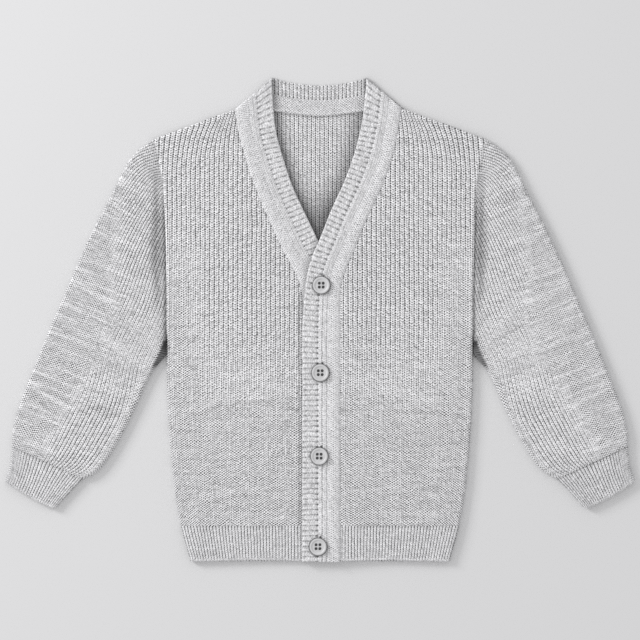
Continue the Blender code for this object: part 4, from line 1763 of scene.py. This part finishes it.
    def clearness(self, tube: Tube) -> Array:
        """How clear the rib is: faint on the outer side, and fainter midway down the sleeve.

        Args:
            tube: its points.

        Returns:
            The clearness at each point, below 0 where the knit is smooth.
        """
        strong = 1 - 0.45 * bell(tube.along - 205, 60)
        outer = Rise(0.2, 0.42)(tube.across + 0.45 * bell(tube.along, 95))
        inner = ease((1.0 - tube.across) / 0.12 + (1 - tube.shut))
        patch = 0.3 * uneven(tube.out / 16, tube.along / 9, 17)
        return np.clip(1.9 * strong * outer * inner - 0.9 + patch, -0.95, 1)

    def shade(self, tube: Tube) -> Array:
        """How shaded the face is.

        It is darker at the armhole, in its creases, at its folds and under the arm, and the flap
        drawn out at the underarm is painted dark as the shadow there. The outer strip is darker
        too, with a painted highlight on its pulled courses.

        Args:
            tube: its points.

        Returns:
            The shade at each point, below 0 where it is paler than the rest.
        """
        tone = self.seam_tone * tube.seam + self.crease_tone * np.clip(tube.creases, 0, 2)
        tone = tone + self.fold_shade(tube.off_outer) + self.deeper
        by_armhole = self.armhole_shade.past(tube.off_armhole)
        tone = tone + by_armhole * tube.below_tip * (1 - tube.shut)
        strip = (1 - Rise(0.3, 0.5)(tube.across)) * round_off(tube.off_outer, 2.0)
        streaks = 0.07 + 0.05 * uneven(tube.along / 6, tube.off_outer / 40, 29)
        tone = tone + (streaks - self.pull_highlight * self.pulled(tube)) * strip
        # the flap drawn out at the underarm is painted dark, as the shadow in the gap by the body
        on_shadow_flap = ease((2.9 - tube.off_inner) / 1.2) * ease(self.shadow_flap_edge * self.shadow_flap_reach(tube))
        underarm = self.underarm_shade(tube.off_inner) * bell(tube.y - self.shadow_flap_at - 14, 12)
        return np.clip(tone + self.shadow_flap_shade * on_shadow_flap + underarm, -0.6, 1)

    def shadow_flap_reach(self, tube: Tube) -> Array:
        """How far the shadow flap reaches at each height, as a share of its most."""
        return bell(tube.y - self.shadow_flap_at, self.shadow_flap_long) * tube.shut

    def face(self, facing: Facing) -> Skin:
        """The upper or the under face, with the edge at the underarm drawn out into the shadow
        flap.

        Args:
            facing: which face.

        Returns:
            The skin.
        """
        upper = facing is Facing.UP
        tube = self.tube(RIB_STEPS - 2 if upper else 2)
        # the under edge is drawn out towards the body into a flap that is painted dark as shadow
        pushed = tube.x - self.shadow_flap_width * self.shadow_flap_reach(tube) * ease(1 - tube.off_inner / self.shadow_flap_edge)
        pushed = np.minimum(np.maximum(pushed, half_width(tube.y) + 0.4), tube.x)
        x = np.where(tube.off_inner < self.shadow_flap_edge, pushed, tube.x) * self.side.value
        points = laid(x, tube.y, self.heights(tube, facing))
        pairs, courses = wander(tube.pairs, tube.along / self.gauge.course)
        skin = Skin(points, pairs, courses, self.clearness(tube), self.shade(tube), facing)
        return skin.knitted(self.gauge, tube.rounded(1.6) * (1.0 if upper else 0.6))

    def build(self, wardrobe: Wardrobe) -> None:
        """Makes the sleeve."""
        skins = [self.face(Facing.UP), self.face(Facing.DOWN)]
        self.cut.sew(f"sleeve_{self.side.label}", skins, wardrobe.sleeve)


@dataclass
class Cuff:
    """A ribbed cuff: a flattened tube, open at the hand."""

    side: Side
    cut: Cut
    gauge: Gauge = CUFF_GAUGE
    length: float = 35.5
    over: float = 3.0  # how far it runs on under the sleeve
    ribs: int = 24  # on one face
    crowd: float = 0.15  # how much closer they lie at its folds
    bulge: float = 3.0  # how far the middle of its opening stands out
    outer_run: tuple[float, float] = (0.9, -11.6)  # how its folds run on, a section further
    inner_run: tuple[float, float] = (8.0, -8.3)

    def fold(self, name: str, run: tuple[float, float], share: Array) -> list[Array]:
        """One of its folds, run straight on before its first section.

        Args:
            name: which fold, outer or inner.
            run: how far its X and height change from one section to the next there.
            share: the way from the sleeve to the hand, from 0 to 1, and below 0 before it.

        Returns:
            X and height at each share.
        """
        spans = np.arange(len(CUFF_EDGES["outer_x"]), dtype=float)
        station = spans[-1] * share
        curves = (smooth(station, spans, CUFF_EDGES[f"{name}_{axis}"]) for axis in "xy")
        beyond = np.minimum(station, 0)
        return [curve + beyond * more for curve, more in zip(curves, run, strict=True)]

    def face(self, facing: Facing) -> Skin:
        """The upper or the under face, from inside its opening to under the sleeve.

        Rows start a little way inside the opening, run round its lip and along to the sleeve. Each
        lies between the outer and the underarm fold of its section.

        Args:
            facing: which face.

        Returns:
            The skin.
        """
        gauge, upper = self.gauge, facing is Facing.UP
        step = gauge.course / COURSE_STEPS
        downs, drops = rolled_rows(7.0, np.arange(2.0, self.length + self.over, step))
        outer_x, outer_y = self.fold("outer", self.outer_run, 1 - downs / self.length)
        inner_x, inner_y = self.fold("inner", self.inner_run, 1 - downs / self.length)
        width = np.hypot(inner_x - outer_x, inner_y - outer_y)
        way_x, way_y = (inner_x - outer_x) / width, (inner_y - outer_y) / width
        share = np.linspace(0, 1, self.ribs * (RIB_STEPS if upper else 2) + 1)[None, :]
        thin = np.minimum(drops, FOLD - 0.5)
        out = thin + (width - 2 * thin) * (share - self.crowd * np.sin(ONE_TURN * share) / ONE_TURN)
        push = self.bulge * np.sin(math.pi * share) * (1 - np.clip(downs / self.length, 0, 1)) ** 2
        x = outer_x + way_x * out + way_y * push
        y = outer_y + way_y * out + way_x * push
        off_edge = np.minimum(out - thin, width - thin - out)
        tuck = Rise(self.length - 2.4, 3.0)(downs)
        rise = round_off(off_edge) * (FOLD - thin)
        z = FOLD + (rise * (1 - 0.15 * tuck) if upper else -rise * (1 - 0.1 * tuck))
        pairs, courses = wander(share * self.ribs, downs / gauge.course)
        clear = -0.6 + 1.6 * Rise(-0.03, 0.3)(share) - 0.9 * bell(downs, 2.2)
        # painted shade under the sleeve's edge and inside the lip of its opening; darker towards
        # the outer fold
        tone = 0.1 * tuck + 0.12 * (1 - ease(share / 0.4)) + 0.3 * (drops > 1.3)
        skin = Skin(laid(x * self.side.value, y, z), pairs, courses, clear, tone, facing)
        edges = round_off(off_edge, 1.6) * (1 - 0.7 * bell(downs, 2.2)) * (drops < 1.2)
        return skin.knitted(gauge, edges * (1.0 if upper else 0.7))

    def build(self, wardrobe: Wardrobe) -> None:
        """Makes the cuff."""
        skins = [self.face(Facing.UP), self.face(Facing.DOWN)]
        self.cut.sew(f"cuff_{self.side.label}", skins, wardrobe.rib)


@dataclass
class NeckBand:
    """The back neck band, seen from its inner side: a ribbed strip above a plain one."""

    cut: Cut
    gauge: Gauge = NECK_GAUGE
    depth: float = BAND_CENTRE - NECK_CENTRE  # at the centre
    rib_depth: float = 14.4  # of the ribbed strip, there
    fold_from: float = 46.0  # half of the free edge, which then meets the shoulder folds

    def grid(self, heights: Array, steps: float) -> tuple[Array, Array, Array]:
        """Points between the neck seam and the free edge.

        Args:
            heights: shares of the way up from the seam.
            steps: columns to a pair of ribs.

        Returns:
            X, heights and the pairs across, as grids.
        """
        reach = math.floor(NECK_HALF / self.gauge.pair * steps)
        pairs = np.arange(-reach, reach + 1)[None, :] / steps
        x = pairs * self.gauge.pair
        end_x = np.abs(x) - self.fold_from
        fold_slope = (NECK_POINT - LENGTH) / (NECK_HALF - self.fold_from)
        rise = (LENGTH - BAND_CENTRE) * (x / self.fold_from) ** 2
        top = np.where(end_x < 0, BAND_CENTRE + rise, LENGTH + fold_slope * end_x)
        low = shoulder_line(x) - 0.6
        return tuple(np.broadcast_arrays(x, low + (np.maximum(top, low) - low) * heights, pairs))

    def inner_face(self) -> list[Skin]:
        """The face that shows inside the neck, as its plain strip and its ribbed one.

        Its free edge is rolled and its seam edge rounded. The grooves of the ribbed strip are
        shaded at the line between the two, and the face is shaded by the shoulders.

        Returns:
            The plain strip and the ribbed one.
        """
        gauge = self.gauge
        inset, drop = lip(3.0)
        faced = np.arange(2.4, self.depth - 1.6, 1.17)
        up, low = SEAM_ROWS["up"], SEAM_ROWS["fall"]
        ups = np.concatenate([up, faced, self.depth - inset[::-1]])[:, None]
        fall = np.concatenate([low, np.zeros(len(faced)), drop[::-1]])[:, None]
        border = int(np.argmin(np.abs(ups - (self.depth - self.rib_depth))))
        x, y, pairs = self.grid(ups / self.depth, RIB_STEPS)
        z = WALL - fall + 0.25 * bell(ups - 2.2, 1.6) + 0.6 * Rise(self.fold_from + 2, 8)(np.abs(x))
        rows, courses = np.arange(len(ups))[:, None], ups / gauge.course
        clear = np.where(rows >= border, 0.95, -0.55)
        off_line, off = ups - ups[border], off_groove(pairs)
        # painted shade by the shoulder folds, on the plain strip and in grooves at the line; a
        # painted highlight on the seam edge
        tone = 0.04 + 0.4 * bell(np.abs(x) - 48, 8) - 0.25 * bell(ups - 0.9, 0.9)
        tone = tone + 0.07 * (clear < 0) + 0.3 * bell(off_line - 1, 1.4) * bell(off, 0.2)
        skin = Skin(laid(x, y, z), pairs, courses, clear, tone)
        line = 0.5 * bell(off_line, 0.9) * bell(off, 0.25)
        ribbed, plain = (knit.relief(pairs, courses, clear) for knit in (gauge, PLAIN_GAUGE))
        depth = np.where(clear > 0.5, ribbed, plain) + line
        skin = skin.pressed(depth * (fall < 1.2) * (rows > 2))
        below = replace(skin.part(rows=slice(border + 1)), finish=1)
        return [below, skin.part(rows=slice(border, None))]

    def under_face(self) -> Skin:
        """The face that it lies on.

        Returns:
            The skin.
        """
        x, y, pairs = self.grid(np.linspace(0, 0.985, 14)[:, None], 2)
        off_end = np.where(np.abs(x) > self.fold_from, (y[-1:] - y) * 0.75, FOLD)
        z = FOLD - FOLD * round_off(off_end)
        clear, plain = np.full_like(x, 0.8), np.zeros_like(x)
        skin = Skin(laid(x, y, z), pairs, y / self.gauge.course, clear, plain, Facing.DOWN)
        return skin.knitted(self.gauge, 0.5 * round_off(off_end, 3))

    def build(self, wardrobe: Wardrobe) -> None:
        """Makes the neck band."""
        skins = [*self.inner_face(), self.under_face()]
        self.cut.sew("band_neck", skins, wardrobe.neck_rib, wardrobe.band_plain)


@dataclass
class Button:
    """A four-hole button with a raised rim and a sunk middle."""

    number: int
    x: float
    height: float
    radius: float = 8.85
    thick: float = 2.6
    rim: float = 2.2
    hole: float = 1.4
    hole_depth: float = 1.7
    spacing: float = 3.8

    def profile(self) -> tuple[Array, int]:
        """Its section: radius and height, from the middle of its top round to that of its base.

        Returns:
            The section, and how many of its points lie on the sunk middle.
        """
        high, well = BUTTON_LOW + self.thick, self.radius - self.rim
        rings = np.concatenate([np.linspace(0.02, 4.7, 34), np.linspace(4.9, well - 1.0, 8)])
        dished = [(ring, high - 0.72 - 0.1 * (1 - (ring / well) ** 2)) for ring in rings]
        rising = [(well - 0.75, 0.68), (well - 0.5, 0.52), (well - 0.25, 0.25), (well, 0.06)]
        crown = [(well + 0.3, 0.0), (self.radius - 0.95, 0.0), (self.radius - 0.75, 0.1)]
        edge = [(self.radius - 0.4, 0.5), (self.radius, 1.3), (self.radius - 0.25, 1.8)]
        base = [(self.radius - 1.2, 0.35), (self.radius - 3, 0.0), (0.02, 0.0)]
        upper = [(ring, high - drop) for ring, drop in (*rising, *crown, *edge)]
        lower = [(ring, BUTTON_LOW + rise) for ring, rise in base]
        return np.array([*dished, *upper, *lower]), len(rings)

    def points(self) -> tuple[Array, Array]:
        """The turned form, as rings from the middle of its top round to the middle of its base.

        Its profile is carried round its axis. The top's middle is sunk, with four round wells: each
        lowers the points nearer to its centre than a hole's radius, over a short soft edge.

        Returns:
            Rings by steps round, by 3, in millimetres, and how much shade is painted on each
            point, from 0 to 1.
        """
        profile, dished = self.profile()
        ring, z = profile[:, :1], profile[:, 1:]
        turn = np.linspace(0, ONE_TURN, 81)[None, :]
        x, y = ring * np.cos(turn), ring * np.sin(turn)
        off = np.hypot(np.abs(x) - self.spacing / 2, np.abs(y) - self.spacing / 2)
        row = np.arange(len(profile))[:, None]
        top = row < dished
        wells = np.where(top, ease((self.hole + 0.16 - off) / 0.34), 0)
        # painted shade: on the bevel round its edge, in the sunk middle, in the wells and under its
        # base
        bevel = 0.85 * Rise(self.radius - 0.9, 0.35)(ring) * (1 - top)
        middle = 0.12 * ease((3.9 - ring) / 0.4)
        under = 0.1 * (row > len(profile) - 6)
        points = laid(x + self.x, y + self.height, z - self.hole_depth * wells)
        return points, np.clip(middle + 0.8 * wells + bevel + under, 0, 1)

    def build(self, wardrobe: Wardrobe) -> None:
        """Makes the button, attaches it to the frame's body in place of its node, and gives its
        stem the look of thread.

        Args:
            wardrobe: the materials.
        """
        points, tone = self.points()
        flat = np.zeros_like(tone)
        skin = Skin(points, flat, flat, flat, tone)
        made = knit_object(f"turned_button_{self.number}", [skin], [wardrobe.button])
        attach(made, "root")
        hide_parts(f"button_{self.number}")
        LOG.info("%s: %d triangles", made.name, len(made.data.polygons))
        for slot in frame["nodes"][f"button_thread_{self.number}"].material_slots:
            slot.material = wardrobe.thread


@dataclass
class Studio:
    """The pale floor, the soft light and the camera straight above."""

    distance: float = 2.4
    view_width: float = 0.6272  # metres of the floor that the picture spans
    sensor: float = 36.0
    centre_y: float = -0.0005
    half_floor: float = 3.0
    below: float = 0.0002  # how far the floor lies under the cloth
    key_place: tuple[float, float, float] = (-2.3, 1.24, 1.21)
    key_size: float = 0.9
    key_power: float = 47.0
    fill: float = 0.725

    @staticmethod
    def stand(name: str, data: bpy.types.ID) -> bpy.types.Object:
        """Puts a new object of the studio into the scene."""
        obj = bpy.data.objects.new(name, data)
        bpy.context.scene.collection.objects.link(obj)
        return obj

    def floor(self) -> None:
        """A plain pale floor, just under the cloth."""
        mesh = bpy.data.meshes.new("floor")
        half, down = self.half_floor, -self.below
        corners = [(x * half, y * half, down) for x, y in ((-1, -1), (1, -1), (1, 1), (-1, 1))]
        mesh.from_pydata(corners, [], [(0, 1, 2, 3)])
        settings = {"Roughness": 0.9, "Specular IOR Level": 0.1}
        mesh.materials.append(FloorFinish("pale floor", settings).material())
        self.stand("floor", mesh)

    def lights(self) -> None:
        """A low soft key from the upper left, turned to the garment, and an even fill."""
        data = bpy.data.lights.new("key", "AREA")
        data.shape = "SQUARE"
        data.size = self.key_size
        data.energy = self.key_power
        key = self.stand("key", data)
        key.location = self.key_place
        x, y, z = self.key_place
        key.rotation_euler = (math.atan2(math.hypot(x, y), z), 0, math.atan2(x, -y))
        world = bpy.data.worlds.new("studio")
        world.use_nodes = True
        back = world.node_tree.nodes["Background"]
        back.inputs["Color"].default_value = (1.0, 1.0, 1.005, 1)
        back.inputs["Strength"].default_value = self.fill
        bpy.context.scene.world = world
        bpy.context.scene.view_settings.view_transform = "Standard"
        bpy.context.scene.cycles.use_denoising = False  # it would smooth the stitches away

    def camera(self) -> None:
        """A long lens straight above the middle of the garment."""
        data = bpy.data.cameras.new("camera")
        data.sensor_width = self.sensor
        data.lens = self.sensor * self.distance / self.view_width
        data.clip_end = 100.0
        data.dof.use_dof = False
        obj = self.stand("camera", data)
        obj.location = (0, self.centre_y, self.distance)
        bpy.context.scene.camera = obj


def main() -> None:
    """Builds the cardigan piece by piece, then the studio round it."""
    logging.basicConfig(level=logging.INFO, format="%(message)s")
    studio = Studio()
    studio.camera()
    wardrobe = Wardrobe()
    over = ("band_right", "front_left")
    left = Band(Side.LEFT, BAND_LEFT, Cut(46, 512, 16960, "band", over))
    under = Cut(46, 512, 15960, "band", ("back_panel",))
    right = Band(Side.RIGHT, BAND_RIGHT, under, cover=left)
    for band, front_area, hem_area, deeper in (
        (left, 45980, 3970, -0.04),
        (right, 46230, 4090, 0.02),
    ):
        front = Cut(147, 408, front_area, "knit", ("back_panel",))
        Front(band.side, band, left, front).build(wardrobe)
        hem = Cut(121, 36, hem_area, "rib", ("hem_back",))
        FrontHem(band.side, band, hem).build(wardrobe)
        Sleeve(band.side, Cut(235, 330, 54700, "knit"), deeper).build(wardrobe)
        Cuff(band.side, Cut(130, 36, 4530, "rib")).build(wardrobe)
        band.build(wardrobe)
    Back(left, right, Cut(326, 408, 119450, "knit")).build(wardrobe)
    BackHem(Cut(274, 36, 9360, "rib")).build(wardrobe)
    NeckBand(Cut(163, 36, 3810, "band")).build(wardrobe)
    for number, (x, height) in enumerate(zip(BUTTONS["x"], BUTTONS["y"], strict=True), 1):
        Button(number, float(x), float(height)).build(wardrobe)
    studio.floor()
    studio.lights()


if __name__ == "__main__":
    main()
